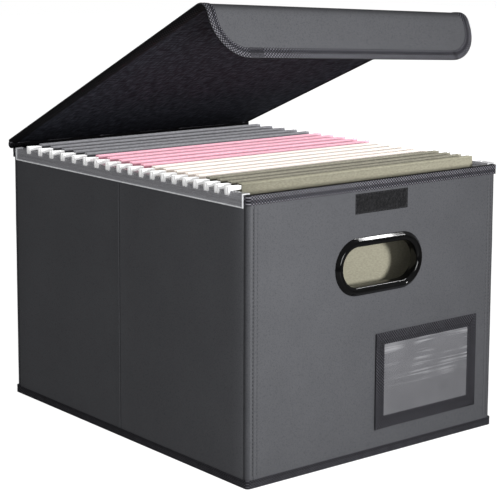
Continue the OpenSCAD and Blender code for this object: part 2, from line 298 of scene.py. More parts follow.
def turned(piece, matrix):
    """Moves a mesh by a matrix, and turns its faces outwards again if the matrix mirrors it."""
    piece.data.transform(matrix)
    if matrix.determinant() < 0:
        piece.data.flip_normals()
    piece.data.update()
    return piece


def copy_of(piece, name):
    """A copy with its own mesh."""
    twin = piece.copy()
    twin.data = piece.data.copy()
    twin.name = name
    twin.data.name = name
    bpy.context.scene.collection.objects.link(twin)
    return twin


def joined(name, pieces):
    """Several meshes made one."""
    only(pieces[0])
    for piece in pieces[1:]:
        piece.select_set(True)
    bpy.ops.object.join()
    pieces[0].name = name
    pieces[0].data.name = name
    return pieces[0]


def drawn(name, points):
    """A line through the points, each pulled on from the one before."""
    points = [Vector(p) for p in points]
    bpy.ops.mesh.primitive_plane_add(size=mm, location=points[0])
    piece = added(name)
    with editing(piece):
        bpy.ops.mesh.merge(type="CENTER")
        for here, there in zip(points, points[1:]):
            extrude(there - here)
    return piece


def sheet_between(name, low, high, columns, rows):
    """An upright sheet that faces the front, between two corners given as X, Y and Z."""
    low = Vector(low)
    high = Vector(high)
    middle = (low + high) / 2
    upright = (90 * degree, 0, 0)
    bpy.ops.mesh.primitive_grid_add(
        x_subdivisions=columns, y_subdivisions=rows, size=1, location=middle, rotation=upright
    )
    bpy.context.object.scale = (high.x - low.x, high.z - low.z, 1)
    return added(name)


def block_between(name, low, high):
    """A block between two corners, to be shaped further."""
    low = Vector(low)
    high = Vector(high)
    bpy.ops.mesh.primitive_cube_add(size=1, location=(low + high) / 2)
    bpy.context.object.scale = high - low
    return added(name)


def wave(piece, way, amount, length):
    """Moves the points of a mesh a little along the way, in soft waves of about the given length."""
    way = Vector(way)
    for v in piece.data.vertices:
        v.co += way * amount * noise.noise(v.co / length)
    piece.data.update()


def inset_of(p, low, high):
    """How far a point of an upright panel lies in from the nearest edge of the panel."""
    return min(p.x - low.x, high.x - p.x, p.z - low.z, high.z - p.z)


def lay_pattern(piece, place):
    """Gives the piece a UV map in metres. place turns a point and its face's normal into U and V."""
    mesh = piece.data
    while mesh.uv_layers:
        mesh.uv_layers.remove(mesh.uv_layers[0])
    layer = mesh.uv_layers.new(name="pattern")
    for face in mesh.polygons:
        for loop in face.loop_indices:
            point = mesh.vertices[mesh.loops[loop].vertex_index].co
            layer.data[loop].uv = place(point, face.normal)


def dress(piece, slot, *materials):
    """Gives a piece its materials. The slot is not used."""
    piece.data.materials.clear()
    for material in materials:
        piece.data.materials.append(material)


# Materials

def linear(text):
    """A colour written as sRGB hex, as linear red, green, blue and alpha."""
    parts = [int(text[i:i + 2], 16) / 255 for i in (1, 3, 5)]
    return [c / 12.92 if c <= 0.04045 else ((c + 0.055) / 1.055) ** 2.4 for c in parts] + [1]


def add(tree, kind, inputs=None, take=0, stops=(), **settings):
    """Adds a node and returns the output to take from it.

    inputs are values for its sockets or outputs to link them to, stops the places and hex colours of a colour
    ramp, and settings its other properties.
    """
    node = tree.nodes.new(kind)
    for name, value in settings.items():
        setattr(node, name, value)
    for name, value in (inputs or {}).items():
        if isinstance(value, bpy.types.NodeSocket):
            tree.links.new(value, node.inputs[name])
        else:
            node.inputs[name].default_value = value
    if stops:
        elements = node.color_ramp.elements
        while len(elements) < len(stops):
            elements.new(0.5)
        for element, (place, colour) in zip(elements, stops):
            element.position = place
            element.color = linear(colour)
    return node.outputs[take]


# Settings of a node that multiplies one colour by another
multiply = {"take": 2, "data_type": "RGBA", "blend_type": "MULTIPLY"}


def begin(name, **sockets):
    """A new material with its shader's fixed values set. Returns the material, its tree and its shader."""
    material = bpy.data.materials.new(name)
    material.use_nodes = True
    tree = material.node_tree
    shader = tree.nodes["Principled BSDF"]
    for socket, value in sockets.items():
        shader.inputs[socket.replace("_", " ")].default_value = value
    return material, tree, shader


def feed(tree, shader, **sockets):
    """Links sockets of the shader to the outputs that vary them."""
    for socket, output in sockets.items():
        tree.links.new(output, shader.inputs[socket.replace("_", " ")])


def leathercloth(name, coordinate, tones=("#68696d", "#6c6d71"), crease=None):
    """PVC leathercloth, embossed with a fine pebble grain: matt and even, with a soft sheen on its pebbles.

    crease gives the places on Y between which the cloth is folded, and the top of that fold is darkened as painted
    shade.
    """
    pebble = 0.9 * mm
    pebble_height = 0.12 * mm
    blotch = 45 * mm
    material, tree, shader = begin(name, Specular_IOR_Level=0.22)
    place = add(tree, "ShaderNodeTexCoord", take=coordinate)
    cells = {"Vector": place, "Scale": 1 / pebble}
    grain = add(tree, "ShaderNodeTexVoronoi", cells, take="Distance", feature="SMOOTH_F1")
    tone = add(tree, "ShaderNodeTexNoise", {"Vector": place, "Scale": 1 / blotch, "Detail": 3.0})
    base = add(tree, "ShaderNodeValToRGB", {"Fac": tone}, stops=[(0.3, tones[0]), (0.7, tones[1])])
    # The hollows between the pebbles are painted darker: painted shade.
    shaded_pits = add(tree, "ShaderNodeValToRGB", {"Fac": grain}, stops=[(0.35, "#ffffff"), (0.85, "#c0c0c2")])
    colour = add(tree, "ShaderNodeMix", {0: 0.6, 6: base, 7: shaded_pits}, **multiply)
    if crease:
        along = add(tree, "ShaderNodeSeparateXYZ", {"Vector": place}, take="Y")
        share = add(tree, "ShaderNodeMapRange", {"Value": along, 1: crease[0], 2: crease[1]})
        # Painted shade on the top of the fold, where the low key light barely reaches.
        tones_of_fold_shade = [(0, "#ffffff"), (0.15, "#c4c4c6"), (0.5, "#c4c4c6"), (0.8, "#ffffff")]
        painted_shading = add(tree, "ShaderNodeValToRGB", {"Fac": share}, stops=tones_of_fold_shade)
        colour = add(tree, "ShaderNodeMix", {0: 1.0, 6: colour, 7: painted_shading}, **multiply)
    gloss = add(tree, "ShaderNodeMapRange", {"Value": grain, 3: 0.48, 4: 0.66})
    dome = add(tree, "ShaderNodeMath", {0: 1.0, 1: grain}, operation="SUBTRACT")
    pebbles = add(tree, "ShaderNodeBump", {"Height": dome, "Distance": pebble_height, "Strength": 0.6})
    feed(tree, shader, Base_Color=colour, Roughness=gloss, Normal=pebbles)
    return material


def woven_tape(name, bands, threads, rib, pick):
    """Grosgrain tape, woven of dull polyester: light dots of thread between dark gaps, with painted light and
    shade across it.

    U runs along the tape and V in from its outer edge. V below zero is the leg that is folded under, painted dark
    as shade. bands are the painted light and shade across the tape, from that leg to its inner edge, and threads
    the tones from its gaps to its dots. Its ribs and picks are drawn about twice as coarse as real ones, so that
    they show.
    """
    leg = 3 * mm
    worn_patch = 7 * mm
    rib_height = 0.25 * mm
    material, tree, shader = begin(name, Specular_IOR_Level=0.2, Roughness=0.75)
    place = add(tree, "ShaderNodeTexCoord", take="UV")
    waves = []
    for axis, spacing in [("X", rib), ("Y", pick)]:
        along = add(tree, "ShaderNodeSeparateXYZ", {"Vector": place}, take=axis)
        phase = add(tree, "ShaderNodeMath", {0: along, 1: 2 * math.pi / spacing}, operation="MULTIPLY")
        waves.append(add(tree, "ShaderNodeMath", {0: phase}, operation="SINE"))
    checks = add(tree, "ShaderNodeMath", {0: waves[0], 1: waves[1]}, operation="MULTIPLY")
    weave = add(tree, "ShaderNodeMapRange", {"Value": checks, 1: -1.0, 2: 1.0})
    dots = add(tree, "ShaderNodeValToRGB", {"Fac": weave}, stops=list(zip((0.3, 0.5, 0.7), threads)))
    across = add(tree, "ShaderNodeSeparateXYZ", {"Vector": place}, take="Y")
    share = add(tree, "ShaderNodeMapRange", {"Value": across, 1: -leg, 2: tape_w})
    # The tones across the tape are painted light and shade: dark on the leg folded under, light on its outer crown
    # and darker along its sewn groove.
    pressed = add(tree, "ShaderNodeValToRGB", {"Fac": share}, stops=bands)
    patches = add(tree, "ShaderNodeTexNoise", {"Vector": place, "Scale": 1 / worn_patch, "Detail": 2.0})
    worn = add(tree, "ShaderNodeValToRGB", {"Fac": patches}, stops=[(0.3, "#dcdcdc"), (0.7, "#ffffff")])
    dots_with_painted_shading = add(tree, "ShaderNodeMix", {0: 1.0, 6: dots, 7: pressed}, **multiply)
    colour = add(tree, "ShaderNodeMix", {0: 1.0, 6: dots_with_painted_shading, 7: worn}, **multiply)
    ridges = add(tree, "ShaderNodeBump", {"Height": weave, "Distance": rib_height, "Strength": 0.8})
    feed(tree, shader, Base_Color=colour, Normal=ridges)
    return material


def lining_cloth(name, coordinate):
    """Spun-bonded polyester lining printed as linen: near black, with faint crossing slubs."""
    slub = 13 * mm
    yarn = 1.9 * mm
    yarn_height = 0.2 * mm
    material, tree, shader = begin(name, Specular_IOR_Level=0.12, Roughness=0.85)
    place = add(tree, "ShaderNodeTexCoord", take=coordinate)
    heights = []
    for sizes in [(slub, yarn, yarn), (yarn, slub, slub)]:
        stretched = add(tree, "ShaderNodeMapping", {"Vector": place, "Scale": [1 / size for size in sizes]})
        heights.append(add(tree, "ShaderNodeTexNoise", {"Vector": stretched, "Scale": 1.0, "Detail": 2.0}))
    total = add(tree, "ShaderNodeMath", {0: heights[0], 1: heights[1]}, operation="ADD")
    cloth = add(tree, "ShaderNodeMath", {0: total, 1: 0.5}, operation="MULTIPLY")
    tones = [(0.38, "#1d1e25"), (0.5, "#31333b"), (0.62, "#4f515c")]
    colour = add(tree, "ShaderNodeValToRGB", {"Fac": cloth}, stops=tones)
    slubs = add(tree, "ShaderNodeBump", {"Height": cloth, "Distance": yarn_height, "Strength": 0.5})
    feed(tree, shader, Base_Color=colour, Normal=slubs)
    return material


def clear_pvc():
    """Extruded clear PVC: a grey, glossy haze that glows faintly as painted light, with long drawn flow lines."""
    line_w = mm / 0.7
    line_length = mm / 0.012
    line_height = 0.03 * mm
    material, tree, shader = begin("clear_pvc", Alpha=0.35, Roughness=0.15, Emission_Strength=0.1)
    place = add(tree, "ShaderNodeTexCoord", take="Object")
    stretch = (1 / line_w, 1 / line_length, 1 / line_w)
    drawn_out = add(tree, "ShaderNodeMapping", {"Vector": place, "Scale": stretch})
    lines = add(tree, "ShaderNodeTexNoise", {"Vector": drawn_out, "Scale": 1.0})
    colour = add(tree, "ShaderNodeValToRGB", {"Fac": lines}, stops=[(0.3, "#c0c0c5"), (0.7, "#e0e0e4")])
    ripple = add(tree, "ShaderNodeBump", {"Height": lines, "Distance": line_height, "Strength": 0.4})
    # Its colour also glows faintly: painted light.
    feed(tree, shader, Base_Color=colour, Emission_Color=colour, Normal=ripple)
    return material


def moulded_abs():
    """Polished black ABS, injection moulded: deep black, mirror-like, with a trace of moulding ripple."""
    ripple = 18 * mm
    ripple_height = 0.1 * mm
    material, tree, shader = begin("polished_black_abs", Roughness=0.07, Specular_IOR_Level=0.3)
    place = add(tree, "ShaderNodeTexCoord", take="Object")
    flow = add(tree, "ShaderNodeTexNoise", {"Vector": place, "Scale": 1 / ripple, "Detail": 2.0})
    colour = add(tree, "ShaderNodeValToRGB", {"Fac": flow}, stops=[(0.3, "#040405"), (0.7, "#09090a")])
    gloss = add(tree, "ShaderNodeMapRange", {"Value": flow, 3: 0.05, 4: 0.11})
    ripples = add(tree, "ShaderNodeBump", {"Height": flow, "Distance": ripple_height, "Strength": 0.15})
    feed(tree, shader, Base_Color=colour, Roughness=gloss, Normal=ripples)
    return material


def fastening_pile(name, cell):
    """Woven nylon fastening tape, one half loops and one half hooks: charcoal, fuzzy and without gloss."""
    pile_height = 0.8 * mm
    material, tree, shader = begin(name, Roughness=0.95, Specular_IOR_Level=0.1, Sheen_Weight=0.25)
    place = add(tree, "ShaderNodeTexCoord", take="Object")
    fuzz = {"Vector": place, "Scale": 1 / cell, "Detail": 4.0, "Roughness": 0.7}
    pile = add(tree, "ShaderNodeTexNoise", fuzz)
    tones = [(0.35, "#151517"), (0.55, "#232325"), (0.75, "#3c3c3f")]
    colour = add(tree, "ShaderNodeValToRGB", {"Fac": pile}, stops=tones)
    tufts = add(tree, "ShaderNodeBump", {"Height": pile, "Distance": pile_height, "Strength": 0.8})
    feed(tree, shader, Base_Color=colour, Normal=tufts)
    return material


def clear_film():
    """Soft clear PVC film: a milky grey veil with a smooth gloss, and pale painted highlights along creases in its
    upper half.
    """
    cloud = 30 * mm
    crease_w = mm / 0.33
    crease_length = mm / 0.009
    highlight_patch = 34 * mm
    highlight_from = 58 * mm
    highlight_full = 72 * mm
    crease_slope = 4 * degree
    material, tree, shader = begin("soft_clear_film", Roughness=0.22)
    place = add(tree, "ShaderNodeTexCoord", take="Object")
    haze = add(tree, "ShaderNodeTexNoise", {"Vector": place, "Scale": 1 / cloud, "Detail": 3.0})
    tint = add(tree, "ShaderNodeValToRGB", {"Fac": haze}, stops=[(0.3, "#9e9ea3"), (0.7, "#acacb1")])
    slope = (0, crease_slope, 0)
    stretch = (1 / crease_length, 1, 1 / crease_w)
    long = add(tree, "ShaderNodeMapping", {"Vector": place, "Rotation": slope, "Scale": stretch})
    folds = add(tree, "ShaderNodeTexNoise", {"Vector": long, "Scale": 1.0, "Detail": 1.0, "Distortion": 0.5})
    line = add(tree, "ShaderNodeMapRange", {"Value": folds, 1: 0.5, 2: 0.68})
    spots = add(tree, "ShaderNodeTexNoise", {"Vector": place, "Scale": 1 / highlight_patch, "Detail": 0.0})
    patch = add(tree, "ShaderNodeMapRange", {"Value": spots, 1: 0.4, 2: 0.6})
    height = add(tree, "ShaderNodeSeparateXYZ", {"Vector": place}, take="Z")
    upper = add(tree, "ShaderNodeMapRange", {"Value": height, 1: highlight_from, 2: highlight_full})
    part = add(tree, "ShaderNodeMath", {0: line, 1: patch}, operation="MULTIPLY")
    crease = add(tree, "ShaderNodeMath", {0: part, 1: upper}, operation="MULTIPLY")
    # Streaks in the upper half are painted paler and more opaque: painted highlights on the film's creases.
    colour = add(tree, "ShaderNodeMix", {0: crease, 6: tint, 7: linear("#d0d0d4")}, take=2, data_type="RGBA")
    opacity = add(tree, "ShaderNodeMapRange", {"Value": crease, 3: 0.38, 4: 0.62})
    gloss = add(tree, "ShaderNodeMapRange", {"Value": haze, 3: 0.16, 4: 0.3})
    feed(tree, shader, Base_Color=colour, Alpha=opacity, Roughness=gloss)
    return material


def folder_card(name, shadow, body, light, crease, skirt="#e8e8e8"):
    """Uncoated folder card: matt, with short fibres in it, painted paler over the rod and darker just below it, as
    painted light and shade.

    crease is the tone of the painted shade just below the rod, where the folder in front shades it, and skirt the
    one of the rest.
    """
    fibre = 1.2 * mm
    fibre_height = 0.05 * mm
    rod_low = 269.5 * mm
    card_top = 274.5 * mm
    material, tree, shader = begin(name, Roughness=0.85, Specular_IOR_Level=0.15)
    place = add(tree, "ShaderNodeTexCoord", take="Object")
    stretched = add(tree, "ShaderNodeMapping", {"Vector": place, "Scale": (0.4, 1.0, 1.0)})
    fibres = add(tree, "ShaderNodeTexNoise", {"Vector": stretched, "Scale": 1 / fibre, "Detail": 5.0})
    card = add(tree, "ShaderNodeValToRGB", {"Fac": fibres}, stops=[(0.25, shadow), (0.5, body), (0.8, light)])
    height = add(tree, "ShaderNodeSeparateXYZ", {"Vector": place}, take="Z")
    level = add(tree, "ShaderNodeMapRange", {"Value": height, 1: rod_low, 2: card_top})
    # Painted light and shade up the card: the skirt's tone low down, a band of painted shade just below the rod,
    # and paler towards white over the rod as painted highlight.
    tones = [(0.1, skirt), (0.26, crease), (0.44, crease), (0.6, "#e4e4e4"), (0.82, "#ffffff")]
    painted_shading = add(tree, "ShaderNodeValToRGB", {"Fac": level}, stops=tones)
    colour = add(tree, "ShaderNodeMix", {0: 1.0, 6: card, 7: painted_shading}, **multiply)
    nap = add(tree, "ShaderNodeBump", {"Height": fibres, "Distance": fibre_height, "Strength": 0.4})
    feed(tree, shader, Base_Color=colour, Normal=nap)
    return material


def mottled(name, spot, tones, detail=2.0, relief=None, glows=False, **sockets):
    """A finish that has only soft spots of the given size in its colour.

    relief is the height that the spots have as well, and glows lets their colour shine out as painted light.
    """
    material, tree, shader = begin(name, **sockets)
    place = add(tree, "ShaderNodeTexCoord", take="Object")
    spots = add(tree, "ShaderNodeTexNoise", {"Vector": place, "Scale": 1 / spot, "Detail": detail})
    colour = add(tree, "ShaderNodeValToRGB", {"Fac": spots}, stops=tones)
    feed(tree, shader, Base_Color=colour)
    if glows:
        feed(tree, shader, Emission_Color=colour)
    if relief:
        bumps = add(tree, "ShaderNodeBump", {"Height": spots, "Distance": relief, "Strength": 0.5})
        feed(tree, shader, Normal=bumps)
    return material


cover = leathercloth("grained_leathercloth", "Object")
# The corner seams take the same leathercloth painted darker, as painted shade where they turn away from the light.
shaded_cover_on_seams = leathercloth("grained_leathercloth_shaded_on_seams", "Object", ("#57585c", "#5c5d61"))
# The lid, flap and hinge cloth take the same leathercloth painted lighter, as painted light on the flap that tilts
# away from the key light, with painted shade on the top of the lid's fold.
fold_crease = (-fold_start, -fold_end)
lightened_cover_by_pattern = leathercloth("grained_leathercloth_lightened_on_lid", "UV", ("#6f7074", "#737478"), fold_crease)
# Painted light and shade across each tape, from its folded-under leg to its inner edge. The folded tape on the rim
# and lid is dark on the leg under, light on its outer crown, darker along its sewn groove and light again past it.
# The flat tapes on the floor edge and the card window are the same grosgrain painted darker overall, dark on the
# leg under and a little darker along the sewn line: painted shade.
folded_shading_bands = [
    (0.17, "#38383c"), (0.24, "#d2d2d6"), (0.57, "#d8d8dc"), (0.63, "#96969c"), (0.80, "#92929a"),
    (0.88, "#d4d4d8"), (1.0, "#b4b4b8"),
]
folded_threads = ("#26252a", "#5c5b61", "#c0bfc5")
flat_shading_bands = [(0.17, "#2c2c30"), (0.23, "#9a9a9e"), (0.6, "#939397"), (0.7, "#87878b"), (1.0, "#939397")]
flat_threads = ("#414045", "#66656b", "#a5a4aa")
tape = woven_tape("grosgrain_tape", folded_shading_bands, folded_threads, rib=3.3 * mm, pick=2.9 * mm)
flat_tape = woven_tape("flat_grosgrain_tape", flat_shading_bands, flat_threads, rib=3.0 * mm, pick=2.7 * mm)
lining = lining_cloth("black_lining", "Object")
lining_by_pattern = lining_cloth("black_lining_on_lid", "UV")
rail_clear = clear_pvc()
# The cut edge of clear PVC: painted bright, and glowing as painted light
shine = {"glows": True, "Alpha": 0.9, "Roughness": 0.35, "Emission_Strength": 0.25}
rail_edge_glow = mottled("clear_pvc_cut_edge_glowing", 3 * mm, [(0.3, "#d5d6da"), (0.7, "#f6f7f8")], **shine)
handle_black = moulded_abs()
loops = fastening_pile("fastening_loops", cell=2.4 * mm)
hooks = fastening_pile("fastening_hooks", cell=1.6 * mm)
film = clear_film()
# White nylon on the rods and their hooks: smooth, half gloss, with a faint painted glow all over
glow = {"glows": True, "Roughness": 0.38, "Emission_Strength": 0.3}
nylon = mottled("white_nylon", 6 * mm, [(0.3, "#ececec"), (0.7, "#fafafa")], **glow)
# Twisted polyester thread: charcoal with a dull shine on its plies
thread = mottled("sewing_thread", 0.5 * mm, [(0.3, "#2a2a2d"), (0.7, "#47474b")], Roughness=0.6)
# Pressed fibreboard inside the walls: brown, with flattened fibres
felt = {"detail": 6.0, "relief": 0.1 * mm, "Roughness": 0.9}
fibreboard = mottled("pressed_fibreboard", 2 * mm, [(0.3, "#745f42"), (0.7, "#9c8664")], **felt)
# The fifth tone of each card is the painted shade just below its rod.
cards = {
    "card_grey": folder_card("grey_card", "#77777b", "#87878b", "#9a9a9e", "#7e7e7e"),
    "card_pink": folder_card("pink_card", "#efa8bb", "#f5b9c9", "#fac8d6", "#d8c6ca"),
    "card_cream": folder_card("cream_card", "#f4e8df", "#faf0e8", "#fff8f2", "#ece6e0"),
    "card_olive": folder_card("olive_card", "#78756a", "#868376", "#969384", "#78746a"),
}
# The front folder has no folder in front of it, so its painted shade below the rod is nearly white, and its lower
# part is painted lighter too.
front_card = folder_card("front_olive_card", "#7a7768", "#868373", "#929080", "#f4f4f4", "#fafafa")


# Stitching

def one_stitch():
    """A stitch along X on a surface that faces up: a bead of thread that dives in at both ends."""
    thread_height = 0.28 * mm
    thread_w = 0.32 * mm
    half_length = 1.25 * mm
    bpy.ops.mesh.primitive_uv_sphere_add(segments=6, ring_count=4, radius=1, rotation=(0, 90 * degree, 0))
    bpy.context.object.scale = (thread_height, thread_w, half_length)
    return added("stitch")


stitch = one_stitch()
stitch_pitch = 3.6 * mm


def stitched_row(start, end, out):
    """Stitches from one place to another on a surface that faces out."""
    start = Vector(start)
    run = Vector(end) - start
    way = run.normalized()
    out = Vector(out)
    count = max(1, int(run.length / stitch_pitch))
    row = copy_of(stitch, "stitch_row")
    turn = Matrix([way, out.cross(way), out]).transposed().to_4x4()
    first = start + way * (run.length - (count - 1) * stitch_pitch) / 2
    row.data.transform(Matrix.Translation(first) @ turn)
    modify(
        row,
        "ARRAY",
        fit_type="FIXED_COUNT",
        count=count,
        use_relative_offset=False,
        use_constant_offset=True,
        constant_offset_displace=way * stitch_pitch,
    )
    return row


def stitched_frame(low, high, inset, y):
    """Four rows of stitches that face the front, inset from the edges of an upright panel."""
    left = low.x + inset
    right = high.x - inset
    foot = low.z + inset
    top = high.z - inset
    corners = [(left, y, foot), (right, y, foot), (right, y, top), (left, y, top)]
    return [stitched_row(a, b, (0, -1, 0)) for a, b in zip(corners, corners[1:] + corners[:1])]


# Walls of the box

def oval_cutter(y):
    """A solid that cuts the hand hole through a sheet at the given Y."""
    steps = 16
    reach = 5 * mm
    points = []
    for side, first in [(1, 90), (-1, 270)]:
        for step in range(steps + 1):
            a = (first - step * 180 / steps) * degree
            x = side * handle_half + wall_hole_r * math.cos(a)
            points.append((x, y - reach, handle_z + wall_hole_r * math.sin(a)))
    piece = drawn("hand_hole", points + points[:1])
    with editing(piece):
        merge()
        bpy.ops.mesh.edge_face_add()
        extrude((0, 2 * reach, 0))
        outward()
    return piece


def round_off(piece, half):
    """Bends a panel that faces the front back a little towards its upright edges."""
    width = 7 * mm
    for v in piece.data.vertices:
        past = max(0, abs(v.co.x) - half + width)
        v.co.y += edge_drop * (past / width) ** 2
    piece.data.update()


def end_panel(name):
    """The cover on an end wall, with two pressed hem lines near each side and its hand hole cut out."""
    half = half_w - corner_r
    edge_row = 1.2 * mm
    piece = sheet_between(name, (-half, -half_d, 0), (half, -half_d, wall_top), columns=24, rows=20)
    with editing(piece):
        for side in (-1, 1):
            for line, depth in hem_lines:
                x = side * (half_w - line)
                slice_across([(x + away * mm, 0, 0) for away in (-1.0, -0.35, 0.35, 1.0)], (1, 0, 0))
                select(piece, lambda p, n: abs(p.x - x) < 0.5 * mm, "VERT")
                shift((0, depth, 0))
            slice_across([(side * (half - edge_row), 0, 0)], (1, 0, 0))
    round_off(piece, half)
    thicken(piece, cover_t)
    cut_with(piece, oval_cutter(-half_d))
    return piece


def make_end_walls():
    """Front and back covers."""
    front = end_panel("front_cover_panel")
    back = turned(copy_of(front, "back_cover_panel"), Matrix.Rotation(math.pi, 4, "Z"))
    for piece, node in [(front, "front_cover"), (back, "back_cover")]:
        shade(piece, 30)
        dress(piece, "cover", cover)
        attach(piece, "box")
        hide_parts(node)


def make_side_walls():
    """Side covers, each with the crease at mid-depth where the wall folds."""
    half = half_d - seam_w
    low = (-half, -half_w, 0)
    high = (half, -half_w, wall_top)
    piece = sheet_between("left_cover_panel", low, high, columns=24, rows=20)
    crease = [(-3.2, 0.0), (-1.5, -0.15), (-0.5, 0.7), (0.5, 0.7), (1.5, -0.15), (3.2, 0.0)]
    crease_middle = 0.85 * mm
    edge_rows = [side * (half - away) for side in (-1, 1) for away in (1.2 * mm, 3.6 * mm)]
    with editing(piece):
        slice_across([(x * mm, 0, 0) for x, depth in crease], (1, 0, 0))
        for x, depth in crease:
            select(piece, lambda p, n: abs(p.x - x * mm) < 0.1 * mm, "VERT")
            shift((0, depth * mm, 0))
        select(piece, lambda p, n: abs(p.x) < 0.1 * mm, "VERT")
        shift((0, crease_middle, 0))
        slice_across([(x, 0, 0) for x in edge_rows], (1, 0, 0))
    round_off(piece, half)
    thicken(piece, cover_t)
    right = turned(copy_of(piece, "right_cover_panel"), Matrix.Rotation(math.pi / 2, 4, "Z"))
    left = turned(piece, Matrix.Rotation(-math.pi / 2, 4, "Z"))
    for side, node in [(left, "left_cover"), (right, "right_cover")]:
        shade(side, 30)
        dress(side, "cover", cover)
        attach(side, "box")
        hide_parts(node)


def make_corner_seams():
    """The rounded, sewn turn of the cover at each upright corner."""
    r = 4.0 * mm
    first = 188
    sweep = 66
    steps = 8
    centre = Vector((-half_w + 4.65 * mm, -half_d + 4.8 * mm, 0))
    side = [(1.7, seam_w / mm), (1.0, seam_w / mm - 0.3), (0.75, seam_w / mm - 1.2)]
    points = [Vector((-half_w + x * mm, -half_d + y * mm, 0)) for x, y in side]
    for step in range(steps + 1):
        a = (first + step * sweep / steps) * degree
        points.append(centre + r * Vector((math.cos(a), math.sin(a), 0)))
    points.append(Vector((-half_w + corner_r + 0.1 * mm, -half_d + 1.8 * mm, 0)))
    piece = drawn("corner_seams_sewn", points)
    levels = 14
    with editing(piece):
        for level in range(levels):
            extrude((0, 0, wall_top / levels))
        outward()
    wave(piece, (1, 1, 0), 0.25 * mm, 40 * mm)
    thicken(piece, cover_t)
    shade(piece, 50)
    mirrors = [Matrix.Diagonal((x, y, 1, 1)) for x, y in [(-1, 1), (1, -1), (-1, -1)]]
    others = [turned(copy_of(piece, "corner"), mirror) for mirror in mirrors]
    piece = joined("corner_seams_sewn", [piece] + others)
    # The seams take the cover painted darker: painted shade.
    dress(piece, "cover", shaded_cover_on_seams)
    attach(piece, "box")
    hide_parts("corner_seams")


def make_floor():
    """The bottom cover stays as packed, and the loose floor board gets rounded, cloth-covered edges."""
    dress(frame["nodes"]["bottom_cover"], "cover", cover)
    low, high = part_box("base_board")
    piece = block_between("base_board_covered", low, high)
    with editing(piece):
        slice_across([(x * high.x / 4, 0, 0) for x in range(-3, 4)], (1, 0, 0))
        slice_across([(0, y * high.y / 5, 0) for y in range(-4, 5)], (0, 1, 0))
    soften(piece, 1.1 * mm, 3)
    shade(piece)
    dress(piece, "lining", lining)
    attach(piece, "box")
    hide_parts("base_board")


def make_lining():
    """The inner lining: an open box of cloth with rounded inner corners and two hand holes."""
    low = (-inside_x, -inside_y, cover_t + lining_t)
    piece = block_between("lining_cloth", low, (inside_x, inside_y, wall_top))
    with editing(piece):
        select(piece, lambda p, n: n.z > 0.9)
        bpy.ops.mesh.delete(type="FACE")
        select(piece, lambda p, n: abs(n.z) > 0.9 and p.z > cover_t, "EDGE")
        bpy.ops.mesh.bevel(offset=2.5 * mm, segments=4)
        slice_across([(x * inside_x / 6, 0, 0) for x in range(-5, 6)], (1, 0, 0))
        slice_across([(0, y * inside_y / 7, 0) for y in range(-6, 7)], (0, 1, 0))
        slice_across([(0, 0, z * wall_top / 6) for z in range(1, 6)], (0, 0, 1))
    thicken(piece, lining_t, offset=1)
    for y in (-inside_y, inside_y):
        cut_with(piece, oval_cutter(y))
    shade(piece, 30)
    dress(piece, "lining", lining)
    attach(piece, "box")
    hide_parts("lining")


def make_rim_tape():
    """Woven tape folded over the rim, with a sewn groove along its outer leg."""
    low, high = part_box("top_binding")
    width = wall_t + 2 * tape_t
    piece = block_between("rim_tape", low, high)
    with editing(piece):
        select(piece, lambda p, n: n.z < -0.9)
        bpy.ops.mesh.delete(type="FACE")
        select(piece, lambda p, n: n.z > 0.9)
        bpy.ops.mesh.inset(thickness=width)
        bpy.ops.mesh.delete(type="FACE")
        inner_x = high.x - width + 0.1 * mm
        inner_y = high.y - width + 0.1 * mm
        select(piece, lambda p, n: abs(p.x) < inner_x and abs(p.y) < inner_y and abs(n.z) < 0.1, "EDGE")
        extrude((0, 0, low.z - high.z))
        outer = [high.x - 0.1 * mm, high.y - 0.1 * mm]
        select(piece, lambda p, n: abs(n.z) > 0.9 and abs(p.x) > outer[0] and abs(p.y) > outer[1], "EDGE")
        bpy.ops.mesh.bevel(offset=corner_r + tape_t, segments=6)
        crown = 1.2 * mm
        drops = [crown, 4.6 * mm, rim_seam, 5.8 * mm, 8.6 * mm]
        slice_across([(0, 0, high.z - drop) for drop in drops], (0, 0, 1))
        outer_leg = (inner_x + 2 * mm, inner_y + 2 * mm)
        for drop, depth in [(rim_seam, 0.25 * mm), (crown, -0.12 * mm)]:
            select(piece, lambda p, n: abs(p.z - high.z + drop) < 0.1 * mm and
                   (abs(p.x) > outer_leg[0] or abs(p.y) > outer_leg[1]), "VERT")
            bpy.ops.transform.shrink_fatten(value=-depth)
        outward()
    thicken(piece, tape_t)
    soften(piece, 0.5 * mm, 3)
    shade(piece, 50)
    # The faces on top of the rim and under it are placed on the tape's dark folded-under band: painted shade.
    lay_pattern(piece, lambda p, n: (p.x + p.y, rim - p.z + 0.5 * mm if abs(n.z) < 0.8 else -1.5 * mm))
    dress(piece, "binding_tape", tape)
    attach(piece, "box")
    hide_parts("top_binding")


def make_floor_tape():
    """Woven tape round the lower edge, sewn along its middle."""
    low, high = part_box("bottom_binding")
    piece = block_between("floor_tape", low, high)
    with editing(piece):
        select(piece, lambda p, n: abs(n.z) > 0.9)
        bpy.ops.mesh.delete(type="FACE")
        select(piece, lambda p, n: abs(n.z) > 0.9, "EDGE")
        bpy.ops.mesh.bevel(offset=corner_r + tape_t, segments=6)
        slice_across([(0, 0, z) for z in (0.8 * mm, 4.0 * mm, floor_seam, 5.4 * mm, 7.4 * mm)], (0, 0, 1))
        outward()
        select(piece, lambda p, n: abs(p.z - floor_seam) < 0.1 * mm, "VERT")
        bpy.ops.transform.shrink_fatten(value=-0.2 * mm)
    thicken(piece, tape_t)
    soften(piece, 0.2 * mm, 2)
    shade(piece, 50)
    lay_pattern(piece, lambda p, n: (p.x + p.y, p.z))
    dress(piece, "binding_tape", flat_tape)
    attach(piece, "box")
    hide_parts("bottom_binding")


